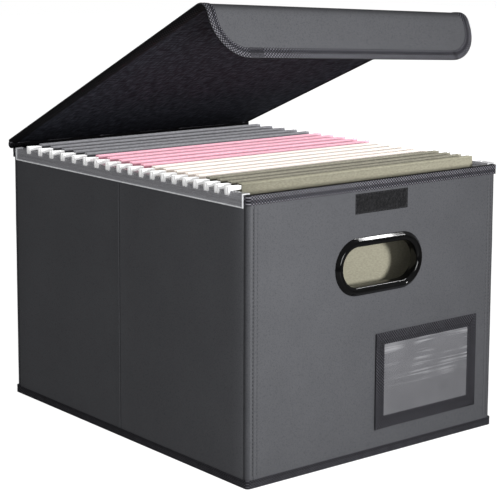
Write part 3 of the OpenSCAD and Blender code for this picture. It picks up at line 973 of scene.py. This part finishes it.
def make_rails():
    """Clear channels pushed over the side walls, with cut edges painted bright and glowing as painted light."""
    rail_t = 1.2 * mm
    band = 1.1 * mm
    short_by = 4 * mm
    for node in ("left_rail", "right_rail"):
        low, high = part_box(node)
        high.y -= short_by
        piece = block_between(node + "_channel", low, high)
        with editing(piece):
            select(piece, lambda p, n: n.z < -0.9 or abs(n.y) > 0.9)
            bpy.ops.mesh.delete(type="FACE")
            slice_across([(0, 0, low.z + band)], (0, 0, 1))
            slice_across([(0, low.y + band, 0), (0, high.y - band, 0)], (0, 1, 0))
            slice_across([(0, y * high.y / 6, 0) for y in range(-5, 6)], (0, 1, 0))
            outward()
        thicken(piece, rail_t)
        soften(piece, 0.3 * mm, 2)
        shade(piece)
        dress(piece, "rail_plastic", rail_clear, rail_edge_glow)
        # Faces along the lower edge and at the ends take the glowing edge finish: painted light.
        for face in piece.data.polygons:
            p = face.center
            if p.z < low.z + band or p.y < low.y + band or p.y > high.y - band:
                face.material_index = 1
        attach(piece, "box")
        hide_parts(node)


# Handles

def round_the_oval(piece):
    """Carries a section, drawn at the top left of the oval, once round it."""
    spins = {"steps": 20, "angle": -math.pi, "axis": (0, 1, 0)}
    with editing(piece):
        merge()
        extrude((2 * handle_half, 0, 0))
        bpy.ops.mesh.spin(center=(handle_half, 0, handle_z), **spins)
        extrude((-2 * handle_half, 0, 0))
        bpy.ops.mesh.spin(center=(-handle_half, 0, handle_z), **spins)
        merge()
        outward()


def oval_section(name, section):
    """A closed section, given in millimetres as distance from the oval's spine and out of the wall."""
    points = [(-handle_half, -half_d - out * mm, handle_z + r * mm) for r, out in section]
    piece = drawn(name, points + points[:1])
    round_the_oval(piece)
    return piece


def make_handles():
    """Oval plate with a raised ridge, its sleeve through the wall, and the ring that grips it inside."""
    out_r = handle_r / mm
    in_r = hand_r / mm
    sleeve = in_r + sleeve_t / mm
    depth = -(wall_t / mm + 2)
    plate = [
        (in_r, depth), (sleeve, depth), (sleeve, 0), (out_r, 0), (out_r, 0.6), (out_r - 0.2, 0.95),
        (out_r - 0.4, 1.15), (out_r - 2.5, 3.2), (out_r - 2.7, 3.4), (out_r - 3.3, 3.8), (out_r - 4.2, 3.9),
        (out_r - 4.7, 3.85), (out_r - 5.0, 3.45),
        (out_r - 6.4, 3.25), (in_r + 1.1, 2.75), (in_r + 0.4, 2.1), (in_r, 1.1),
    ]
    ring = [
        (sleeve + 0.3, depth), (sleeve + 5.0, depth), (sleeve + 5.4, depth + 0.4), (sleeve + 5.4, depth + 2),
        (sleeve + 0.3, depth + 2),
    ]
    handles = []
    for kind, section in [("plate", plate), ("ring", ring)]:
        front = oval_section("front_handle_%s_moulded" % kind, section)
        shade(front, 32)
        back = turned(copy_of(front, "back_handle_%s_moulded" % kind), Matrix.Diagonal((1, -1, 1, 1)))
        for piece, node in [(front, "front_handle_" + kind), (back, "back_handle_" + kind)]:
            dress(piece, "handle_plastic", handle_black)
            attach(piece, "box")
            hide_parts(node)
            handles.append(piece)
    return handles


# Front details

def make_loop_patch():
    """The soft half of the fastening: a cut strip of loops with flat selvedges, standing off the cover."""
    low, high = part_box("loop_patch")
    piece = sheet_between("loop_patch_pile", low, (high.x, low.y, high.z), columns=72, rows=22)
    selvedge = 1.4 * mm
    pile = 0.55 * mm
    tuft = 1.6 * mm
    with editing(piece):
        select(piece, lambda p, n: inset_of(p, low, high) < selvedge, "VERT")
        shift((0, 0.35 * mm, 0))
    for v in piece.data.vertices:
        if inset_of(v.co, low, high) > selvedge:
            v.co.y -= pile * abs(noise.noise(v.co / tuft))
    thicken(piece, 0.4 * mm)
    shade(piece, 60)
    dress(piece, "fastening", loops)
    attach(piece, "box")
    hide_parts("loop_patch")


def make_card_window():
    """The woven frame, mitred at its corners, and the wrinkled film that it holds."""
    low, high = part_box("window_tape_frame")
    turned_in = 0.9 * mm
    piece = sheet_between("window_tape", low, (high.x, low.y, high.z), columns=1, rows=1)
    with editing(piece):
        bpy.ops.mesh.inset(thickness=window_tape_w)
        bpy.ops.mesh.delete(type="FACE")
        bpy.ops.mesh.select_all(action="SELECT")
        bpy.ops.mesh.subdivide(number_cuts=5)
        select(piece, lambda p, n: inset_of(p, low, high) > window_tape_w - 0.1 * mm, "VERT")
        shift((0, 0.25 * mm, 0))
        outward()
        select(piece, lambda p, n: p.x < low.x + mm, "VERT")
        shift((0, -turned_in, 0))
    thicken(piece, 0.7 * mm)
    soften(piece, 0.25 * mm, 2, 60)
    shade(piece)
    lay_pattern(piece, lambda p, n: frame_place(p, n, low, high))
    dress(piece, "binding_tape", flat_tape)
    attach(piece, "box")
    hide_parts("window_tape_frame")
    make_film()


def frame_place(p, n, low, high):
    """Place on the window's tape: how far along its side, and how far in from its outer edge."""
    # The faces of its turned-in left edge are put on the tape's dark band: a painted shadow in the gap where the
    # edge stands off the cover.
    if n.x < -0.7 and p.x < low.x + mm:
        return p.z, -2 * mm
    inset = {"left": p.x - low.x, "right": high.x - p.x, "low": p.z - low.z, "top": high.z - p.z}
    side = min(inset, key=inset.get)
    along = p.z if side in ("left", "right") else p.x
    return along, inset[side] * tape_w / window_tape_w


def make_film():
    """Soft film with shallow wrinkles that sag across it.

    Each wrinkle has a place across and one up, a reach to its sides and an amount of the full height.
    """
    low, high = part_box("window_film")
    full_height = 2.6 * mm
    half_width = 0.022
    held_edge = 0.1
    piece = sheet_between("window_film_soft", low, (high.x, low.y, high.z), columns=90, rows=64)
    wrinkles = [
        (0.62, 0.80, 0.34, 0.12), (0.55, 0.69, 0.26, 0.10), (0.66, 0.60, 0.30, 0.11),
        (0.36, 0.55, 0.24, 0.08), (0.52, 0.38, 0.16, 0.10), (0.70, 0.90, 0.30, 0.10),
        (0.30, 0.74, 0.22, 0.07),
    ]
    for v in piece.data.vertices:
        u = (v.co.x - low.x) / (high.x - low.x)
        t = (v.co.z - low.z) / (high.z - low.z)
        inside = min(u, 1 - u, t, 1 - t) / held_edge
        height = 0
        for across, up, reach, amount in wrinkles:
            sag = up + 0.06 * math.sin((u - across) * 4) - 0.10 * (u - across) ** 2
            height += amount * math.exp(-((u - across) / reach) ** 2 - ((t - sag) / half_width) ** 2)
        v.co.y -= min(1, inside) * height * full_height
    thicken(piece, 0.25 * mm)
    shade(piece, 60)
    dress(piece, "window_film", film)
    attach(piece, "box")
    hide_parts("window_film")


# Lid and flap, made flat as one pattern and then folded

def fold_point(flat):
    """Where a point of the flat pattern goes. X runs across it, Y to its back and Z out of the cover."""
    s = -flat.y
    n = flat.z
    if n < -cover_t:
        share = min(1, max(0, (s - fold_start) / (fold_end - fold_start)))
        thin = 1 + share * ((flap_t - cover_t) / (lid_t - cover_t) - 1)
        n = -cover_t + (n + cover_t) * thin
    a = min(fold_turn, max(0, (s - fold_start) / fold_r))
    left = (lid_x + lid_half - flat.x) / (2 * lid_half)
    past = max(0, s - fold_end) * (1 + flap_extra_left * left)
    y = fold_y - (fold_r + n) * math.sin(a) - past * math.cos(a)
    z = fold_z + (fold_r + n) * math.cos(a) - past * math.sin(a)
    if s < fold_start:
        y = lid_back - s
    front = min(1, s / fold_end)
    z += front * (left * lid_warp_left + (1 - left) * lid_warp_right) + (1 - front) * lid_sag_back
    x = lid_x + (flat.x - lid_x) * (1 - lid_narrow * front)
    x -= front * lid_skew_front + (1 - front) * lid_skew_back
    return open_turn @ Vector((x, y, z))


def fold_lid(piece):
    """Folds a flat piece of the lid into its place, open as in the photograph."""
    for v in piece.data.vertices:
        v.co = fold_point(v.co)
    piece.data.update()


# Distances from the back of the lid at which its sheets are divided
lid_rows = [fold_start * i / 14 for i in range(15)]
fold_rows = [fold_start + (fold_end - fold_start) * i / 10 for i in range(1, 11)]


def outline_rows(inset):
    """Rows of a sheet inset from the lid's outline: the distance from the back, and half the width there."""
    half = lid_half - inset
    r = flap_r - inset
    end = flap_end - inset
    rows = [(s, half) for s in lid_rows + fold_rows]
    rows += [(fold_end + (end - r - fold_end) * i / 3, half) for i in (1, 2, 3)]
    for i in range(1, 11):
        a = i * 9 * degree
        rows.append((end - r + r * math.sin(a), half - r + r * math.cos(a)))
    return rows


def lid_sheet(name, height, inset, columns=32):
    """A flat sheet with the lid's outline, as a grid whose rows are moved and narrowed to it."""
    rows = outline_rows(inset)
    bpy.ops.mesh.primitive_grid_add(x_subdivisions=columns, y_subdivisions=len(rows) - 1, size=1)
    piece = added(name)
    for v in piece.data.vertices:
        s, half = rows[round((0.5 - v.co.y) * (len(rows) - 1))]
        v.co = (lid_x + 2 * v.co.x * half, -s, height)
    piece.data.update()
    lay_pattern(piece, lambda p, n: (p.x, p.y))
    return piece


def blend_flap(piece):
    """Puts a piece's place into its mesh."""
    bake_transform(piece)


def make_lid_sheets():
    """The outer cover, the boards and the lining, each as one sheet over lid and flap."""
    outer = lid_sheet("lid_and_flap_cover", 0, tape_t)
    thicken(outer, cover_t)
    boards = lid_sheet("lid_and_flap_boards", -cover_t, 4 * mm, 16)
    thicken(boards, lid_t - cover_t - lining_t)
    lower = lid_sheet("lid_and_flap_lining", -(lid_t - lining_t), 4.4 * mm, 24)
    thicken(lower, lining_t)
    for piece in (outer, boards, lower):
        fold_lid(piece)
        shade(piece, 50)
        blend_flap(piece)
    dress(outer, "cover", lightened_cover_by_pattern)
    dress(boards, "board", fibreboard)
    dress(lower, "lining", lining_by_pattern)
    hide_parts("lid_cover", "flap_cover")
    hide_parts("lid_board", "flap_board")
    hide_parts("lid_lining", "flap_lining")


def edge_place(p):
    """Place on the tape round the lid: how far along it, and how far in from its outer edge."""
    s = -p.y
    x = p.x - lid_x
    if s < round_s:
        return s, lid_half - abs(x)
    if abs(x) < round_x:
        return x, flap_end - s
    away = Vector((abs(x) - round_x, s - round_s))
    return round_s + flap_r * math.atan2(away.y, away.x), flap_r - away.length


def make_lid_tape():
    """Woven tape folded over the lid's sides and round the flap, and the rolled edge at its back."""
    out = 0.6
    under = -(lid_t / mm) - 0.6
    section = [
        (tape_w / mm, 0.02), (9.2, 0.5), (6.2, out), (lid_seam / mm, 0.3), (4.4, out), (1.6, 0.6), (0.4, 0.2),
        (0, -0.9), (0, -2.3), (0.4, -3.2), (2.0, -4.4), (4.2, under), (7.0, under), (7.4, under + 0.55),
    ]
    points = [(lid_x - lid_half + e * mm, 0, n * mm) for e, n in section]
    piece = drawn("lid_tape", points)
    steps = lid_rows[1:] + fold_rows + [fold_end + (round_s - fold_end) * i / 2 for i in (1, 2)]
    strides = [b - a for a, b in zip([0] + steps, steps)]
    columns = 16
    quarter = {"steps": 10, "angle": -math.pi / 2, "axis": (0, 0, 1)}
    with editing(piece):
        for stride in strides:
            extrude((0, -stride, 0))
        bpy.ops.mesh.spin(center=(lid_x - round_x, -round_s, 0), **quarter)
        for column in range(columns):
            extrude((2 * round_x / columns, 0, 0))
        bpy.ops.mesh.spin(center=(lid_x + round_x, -round_s, 0), **quarter)
        for stride in reversed(strides):
            extrude((0, stride, 0))
        merge()
        outward()
    thicken(piece, 0.5 * mm)
    # Faces below the cover take their height as their place across, which puts the legs under the lid on the
    # tape's dark band: painted shade.
    lay_pattern(piece, lambda p, n: edge_place(p) if p.z > -0.6 * mm else (edge_place(p)[0], p.z))
    roll = make_roll()
    rows = lid_stitches()
    for part in (piece, roll, rows):
        fold_lid(part)
        shade(part, 50)
    piece = joined("lid_tape", [piece, roll])
    blend_flap(piece)
    dress(piece, "binding_tape", tape)
    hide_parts("lid_binding", "flap_binding")
    blend_flap(rows)
    dress(rows, "binding_tape", thread)


def make_roll():
    """The rolled edge at the back of the lid, a tape wound into a soft round bead with closed ends."""
    r = 4.5 * mm
    middle = (lid_x, 0, -tape_t - r)
    bpy.ops.mesh.primitive_cylinder_add(
        vertices=28, radius=r, depth=2 * lid_half, location=middle, rotation=(0, 90 * degree, 0)
    )
    piece = added("lid_back_roll")
    with editing(piece):
        slice_across([(lid_x + x * lid_half / 12, 0, 0) for x in range(-11, 12)], (1, 0, 0))
        select(piece, lambda p, n: abs(n.x) > 0.9 and abs(p.x - lid_x) > lid_half - mm)
        bpy.ops.mesh.bevel(offset=2.6 * mm, segments=4)
    wave(piece, (0, 0.4, 1), 0.35 * mm, 30 * mm)
    # Its place across the tape follows the turn round the roll, which puts its underside on the tape's dark band:
    # painted shade.
    lay_pattern(piece, lambda p, n: (p.x, 2 * mm + 0.5 * r * math.atan2(p.z + tape_t + r, p.y)))
    return piece


def lid_stitches():
    """Rows of stitches in the groove of the lid's tape, in the flat pattern."""
    up = (0, 0, 1)
    level = 0.45 * mm
    back_gap = 6 * mm
    at_corner = 8
    r = flap_r - lid_seam
    rows = []
    for side in (-1, 1):
        x = lid_x + side * (lid_half - lid_seam)
        rows.append(stitched_row((x, -back_gap, level), (x, -round_s, level), up))
        for step in range(at_corner):
            a = (step + 0.5) * math.pi / (2 * at_corner)
            here = Vector((lid_x + side * (round_x + r * math.cos(a)), -round_s - r * math.sin(a), level))
            way = Vector((-side * math.sin(a), -math.cos(a), 0))
            rows.append(stitched_row(here - way * mm, here + way * mm, up))
    y = -flap_end + lid_seam
    rows.append(stitched_row((lid_x - round_x, y, level), (lid_x + round_x, y, level), up))
    return joined("lid_stitching", rows)


def make_hook_patch():
    """The hooked half of the fastening on the inside of the flap."""
    low, high = shut_box("hook_patch", flap_shut)
    first = fold_end + fold_z - high.z
    last = fold_end + fold_z - low.z
    base = 0.9 * mm
    pile = 0.5 * mm
    tuft = 1.2 * mm
    bpy.ops.mesh.primitive_grid_add(x_subdivisions=60, y_subdivisions=20, size=1)
    bpy.context.object.scale = (high.x - low.x, last - first, 1)
    bpy.context.object.location = ((low.x + high.x) / 2, -(first + last) / 2, -lid_t)
    piece = added("hook_patch_pile")
    for v in piece.data.vertices:
        v.co.z -= base + pile * abs(noise.noise(v.co / tuft))
    thicken(piece, 0.8 * mm)
    fold_lid(piece)
    shade(piece, 60)
    dress(piece, "fastening", hooks)
    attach(piece, "flap")
    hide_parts("hook_patch")


# Hinge cloth

def make_hinge_cloth():
    """The cloth from the back wall to the lid: cover outside, lining inside, sewn flat along its hem."""
    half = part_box("hinge_band")[1].x
    hem_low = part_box("hinge_hem")[0].z
    roll_z = shut_box("hinge_band")[1].z
    columns = 24
    lower = [
        (half_d + 0.8 * mm, hem_low),
        (half_d + 1.2 * mm, hinge.z - 8 * mm),
        (half_d + 1.5 * mm, hinge.z - 3 * mm),
    ]
    upper = [
        (hinge.y + 0.2 * mm, hinge.z + 4 * mm),
        (hinge.y + 0.2 * mm, hinge.z + 12 * mm),
        (hinge.y - 0.1 * mm, hinge.z + 24 * mm),
        (hinge.y - 0.2 * mm, roll_z),
    ]
    points = [Vector((-half, y, z)) for y, z in lower] + [open_turn @ Vector((-half, y, z)) for y, z in upper]
    piece = drawn("hinge_cloth", points)
    with editing(piece):
        for column in range(columns):
            extrude((2 * half / columns, 0, 0))
        bpy.ops.mesh.select_all(action="SELECT")
        bpy.ops.mesh.subdivide(number_cuts=1)
    modify(piece, "SUBSURF", levels=1, render_levels=1)
    with editing(piece):
        outward()
        mesh = bmesh.from_edit_mesh(piece.data)
        if sum(f.normal.y for f in mesh.faces) < 0:
            bpy.ops.mesh.flip_normals()
    wave(piece, (0, 1, 0), 0.35 * mm, 50 * mm)
    lay_pattern(piece, lambda p, n: (p.x, p.z))
    thicken(piece, 1.2 * mm, material_offset=1)
    shade(piece, 50)
    dress(piece, "cover", lightened_cover_by_pattern, lining_by_pattern)
    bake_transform(piece)
    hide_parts("hinge_band", "hinge_hem")


# Folders

def card_section():
    """Half of a folder's section in millimetres: from its sleeve's end, over the rod and down to the fold."""
    return [
        (0.35, 254.4), (0.3, 262), (0.25, 268.5), (0.35, 271.6), (0.85, 273.4), (1.75, 274.2), (2.6, 273.5),
        (3.1, 271.8), (3.2, 268.5), (3.2, 262), (3.15, 254.4), (3.0, 220), (2.9, 170), (2.8, 110), (2.5, 70),
        (1.8, 48), (0.9, 40.6),
    ]


def make_folder_parts():
    """One folder's card and rods, modelled about y = 0."""
    card_half = 148 * mm
    columns = 12
    fold = (0, 39.4)
    half = card_section()
    section = half + [fold] + [(-y, z) for y, z in reversed(half)]
    piece = drawn("folder_card", [(-card_half, y * mm, z * mm) for y, z in section])
    with editing(piece):
        for column in range(columns):
            extrude((2 * card_half / columns, 0, 0))
        outward()
    thicken(piece, 0.4 * mm, 0)
    soften(piece, 0.12 * mm, 1, 60)
    shade(piece, 50)
    return piece, make_rods(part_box("folder_01")[1].x)


def make_rods(tip):
    """The two rods of a folder, each with a hooked end that drops over the rail."""
    top = 272.9 * mm
    low = 268.7 * mm
    hook_low = 265 * mm
    hook_in = tip - 1.9 * mm
    grip = 146.5 * mm
    shoulder = 1.2 * mm
    piece = block_between("folder_rods", (-tip, 0.45 * mm, low), (tip, 2.95 * mm, top))
    with editing(piece):
        slice_across([(x, 0, 0) for x in (-hook_in, -grip, grip, hook_in)], (1, 0, 0))
        select(piece, lambda p, n: n.z < -0.9 and abs(p.x) > hook_in)
        extrude((0, 0, -shoulder))
        extrude((0, 0, hook_low - low + shoulder))
        bpy.ops.transform.resize(value=(1, 0.55, 1))
        select(piece, lambda p, n: abs(p.x) < grip - mm and abs(n.x) < 0.1)
        bpy.ops.transform.resize(value=(1, 0.5, 0.8))
    soften(piece, 0.35 * mm, 2)
    shade(piece)
    other = turned(copy_of(piece, "folder_rod"), Matrix.Diagonal((1, -1, 1, 1)))
    return joined("folder_rods", [piece, other])


def make_folders():
    """Nineteen folders, each a copy with its own slight bow and sag.

    A card hangs straight down to bow_from and reaches its full bow bow_over lower.
    """
    bow_from = 265 * mm
    bow_over = 60 * mm
    card, rods = make_folder_parts()
    slots = {row["node"]: row["material_slot"] for row in frame["record"]["subparts"]}
    names = sorted(name for name in frame["nodes"] if name.startswith("folder_"))
    folders = []
    for number, node in enumerate(names):
        low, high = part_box(node)
        middle = Matrix.Translation((0, (low.y + high.y) / 2, 0))
        leaf = copy_of(card, node + "_card")
        bow = 0.5 * mm * math.sin(number * 2.4)
        sag = 0.25 * mm * math.cos(number * 1.7)
        for v in leaf.data.vertices:
            across = 1 - (v.co.x / high.x) ** 2
            v.co.y += bow * across * min(1, max(0, (bow_from - v.co.z) / bow_over))
            v.co.z += sag * across
        leaf.data.transform(middle)
        rod = copy_of(rods, node + "_rods")
        rod.data.transform(middle)
        slot = slots[node]
        dress(leaf, slot, front_card if node == names[-1] else cards[slot])
        dress(rod, "rod_plastic", nylon)
        for piece in (leaf, rod):
            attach(piece, node)
        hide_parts(node)
        folders += [leaf, rod]
    for piece in (card, rods):
        bpy.data.objects.remove(piece)
    return folders


# Stitching on the box

def make_box_stitching():
    """All the rows of stitches on the box's own pieces."""
    rows = []
    flat = half_w - corner_r
    end = half_d - corner_r
    proud = tape_t - 0.1 * mm
    hem_foot = 10 * mm
    hem_top = 256 * mm
    for sign in (-1, 1):
        y = sign * (half_d + proud)
        for z in (rim - rim_seam, floor_seam):
            rows.append(stitched_row((-flat, y, z), (flat, y, z), (0, sign, 0)))
        x = sign * (half_w + proud)
        rows.append(stitched_row((x, -end, floor_seam), (x, end, floor_seam), (sign, 0, 0)))
        for side in (-1, 1):
            for line, depth in hem_lines:
                x = side * (half_w - line)
                y = sign * (half_d - depth - 0.1 * mm)
                rows.append(stitched_row((x, y, hem_foot), (x, y, hem_top), (0, sign, 0)))
    low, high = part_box("window_tape_frame")
    rows += stitched_frame(low, high, window_seam, low.y - 0.02 * mm)
    low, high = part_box("loop_patch")
    rows += stitched_frame(low, high, 0.9 * mm, low.y + 0.3 * mm)
    low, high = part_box("hinge_hem")
    for z in (low.z + 2.5 * mm, low.z + 8 * mm):
        y = half_d + 1.0 * mm
        rows.append(stitched_row((low.x + 3 * mm, y, z), (high.x - 3 * mm, y, z), (0, 1, 0)))
    piece = joined("box_stitching", rows)
    shade(piece, 60)
    dress(piece, "binding_tape", thread)
    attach(piece, "box")


def make_wall_boards():
    """The stiff boards inside the walls, with their outer faces kept clear of the cover's pressed lines."""
    play = 1.4 * mm
    end_gap = 4 * mm
    side_gap = 3 * mm
    crease_gap = 2 * mm
    for node in ("front_board", "back_board", "left_boards", "right_boards"):
        low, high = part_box(node)
        end = node in ("front_board", "back_board")
        middle = (low + high) / 2
        out = 1 if (middle.y if end else middle.x) > 0 else -1
        if end:
            parts = [(low.x + end_gap, high.x - end_gap, low.y, high.y)]
        else:
            halves = [(low.y + side_gap, -crease_gap), (crease_gap, high.y - side_gap)]
            parts = [(low.x, high.x, y0, y1) for y0, y1 in halves]
        pieces = []
        for x0, x1, y0, y1 in parts:
            if end:
                y0, y1 = (y0, y1 - play) if out > 0 else (y0 + play, y1)
            else:
                x0, x1 = (x0, x1 - play) if out > 0 else (x0 + play, x1)
            block = block_between(node + "_pressed", (x0, y0, low.z), (x1, y1, high.z - mm))
            soften(block, 0.4 * mm)
            if end:
                cut_with(block, oval_cutter(middle.y))
            pieces.append(block)
        piece = joined(node + "_pressed", pieces)
        shade(piece)
        dress(piece, "board", fibreboard)
        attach(piece, "box")
        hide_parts(node)


# Studio

def seen_directly(tree):
    """1 for rays from the camera or through something clear, and 0 for all others."""
    rays = [add(tree, "ShaderNodeLightPath", take=kind) for kind in ("Is Camera Ray", "Is Transmission Ray")]
    return add(tree, "ShaderNodeMath", {0: rays[0], 1: rays[1]}, operation="MAXIMUM")


def make_floor_plane():
    """A pale floor that keeps the shadow, and looks white to the camera."""
    brightness = 0.93
    bpy.ops.mesh.primitive_plane_add(size=14, location=(0, 0, -0.05 * mm))
    floor = added("studio_floor")
    matt = {"Roughness": 0.9, "Specular_IOR_Level": 0.0, "Base_Color": linear("#b4b4b4")}
    material, tree, shader = begin("pale_floor", Emission_Color=(1, 1, 1, 1), **matt)
    shine = add(tree, "ShaderNodeMath", {0: seen_directly(tree), 1: brightness}, operation="MULTIPLY")
    feed(tree, shader, Emission_Strength=shine)
    floor.data.materials.append(material)


def make_world(ambient):
    """Even white surroundings for the eye, and a weaker even light on the object."""
    world = bpy.data.worlds.new("studio")
    bpy.context.scene.world = world
    world.use_nodes = True
    tree = world.node_tree
    strength = add(tree, "ShaderNodeMapRange", {"Value": seen_directly(tree), 3: ambient, 4: 1.0})
    background = tree.nodes["Background"]
    background.inputs["Color"].default_value = (1, 1, 1, 1)
    feed(tree, background, Strength=strength)


def softbox(name, place, aim, width, height, level):
    """A lamp that gives a white surface which faces it, at the aim, the stated brightness."""
    place = Vector(place)
    away = place - Vector(aim)
    data = bpy.data.lights.new(name, "AREA")
    data.shape = "RECTANGLE"
    data.size = width
    data.size_y = height
    data.energy = level * math.pi ** 2 * away.length_squared
    lamp = bpy.data.objects.new(name, data)
    lamp.location = place
    lamp.rotation_euler = away.to_track_quat("Z", "Y").to_euler()
    lamp.visible_camera = False
    bpy.context.scene.collection.objects.link(lamp)
    return lamp


# What the lamps in front are aimed at
front_middle = (0, -half_d, 0.2)


def make_studio():
    """Key light near and low in front: the front is bright at its upper left, and the fold's top is dark."""
    bpy.context.scene.view_settings.view_transform = "Standard"
    make_floor_plane()
    make_world(ambient=0.24)
    return softbox("key_softbox", (-0.22, -0.9, 0.37), front_middle, width=0.35, height=0.35, level=0.82)


def group_of(name, pieces, state="INCLUDE"):
    """A group that a lamp either serves alone or leaves out."""
    group = bpy.data.collections.new(name)
    for piece in pieces:
        group.objects.link(piece)
    for entry in group.collection_objects:
        entry.light_linking.link_state = state
    return group


def light_folders(folders, key):
    """The pale folders get a softbox of their own at the right, and the open ceiling's light from above."""
    alone = group_of("folders", folders)
    key.light_linking.receiver_collection = group_of("not_folders", folders, "EXCLUDE")
    side = softbox("folder_softbox", (0.72, -1.5, 0.42), front_middle, width=0.3, height=0.3, level=1.7)
    side.light_linking.receiver_collection = alone
    fill = softbox("folder_fill", (-0.25, -0.2, 1.1), (0, 0, rim), width=0.7, height=0.7, level=1.0)
    fill.light_linking.receiver_collection = alone
    fill.light_linking.blocker_collection = alone


def light_handles(handles):
    """A small lamp above the right that only the polished handles mirror."""
    aim = (-0.03, -half_d, handle_z)
    glint = softbox("handle_glint", (0.66, -0.40, 1.0), aim, width=0.06, height=0.5, level=0.5)
    glint.light_linking.receiver_collection = group_of("handles", handles)


key_lamp = make_studio()
make_end_walls()
make_side_walls()
make_corner_seams()
make_floor()
make_lining()
make_rim_tape()
make_floor_tape()
make_rails()
light_handles(make_handles())
make_loop_patch()
make_card_window()
make_lid_sheets()
make_lid_tape()
make_hook_patch()
make_hinge_cloth()
light_folders(make_folders(), key_lamp)
make_box_stitching()
make_wall_boards()
bpy.data.objects.remove(stitch)
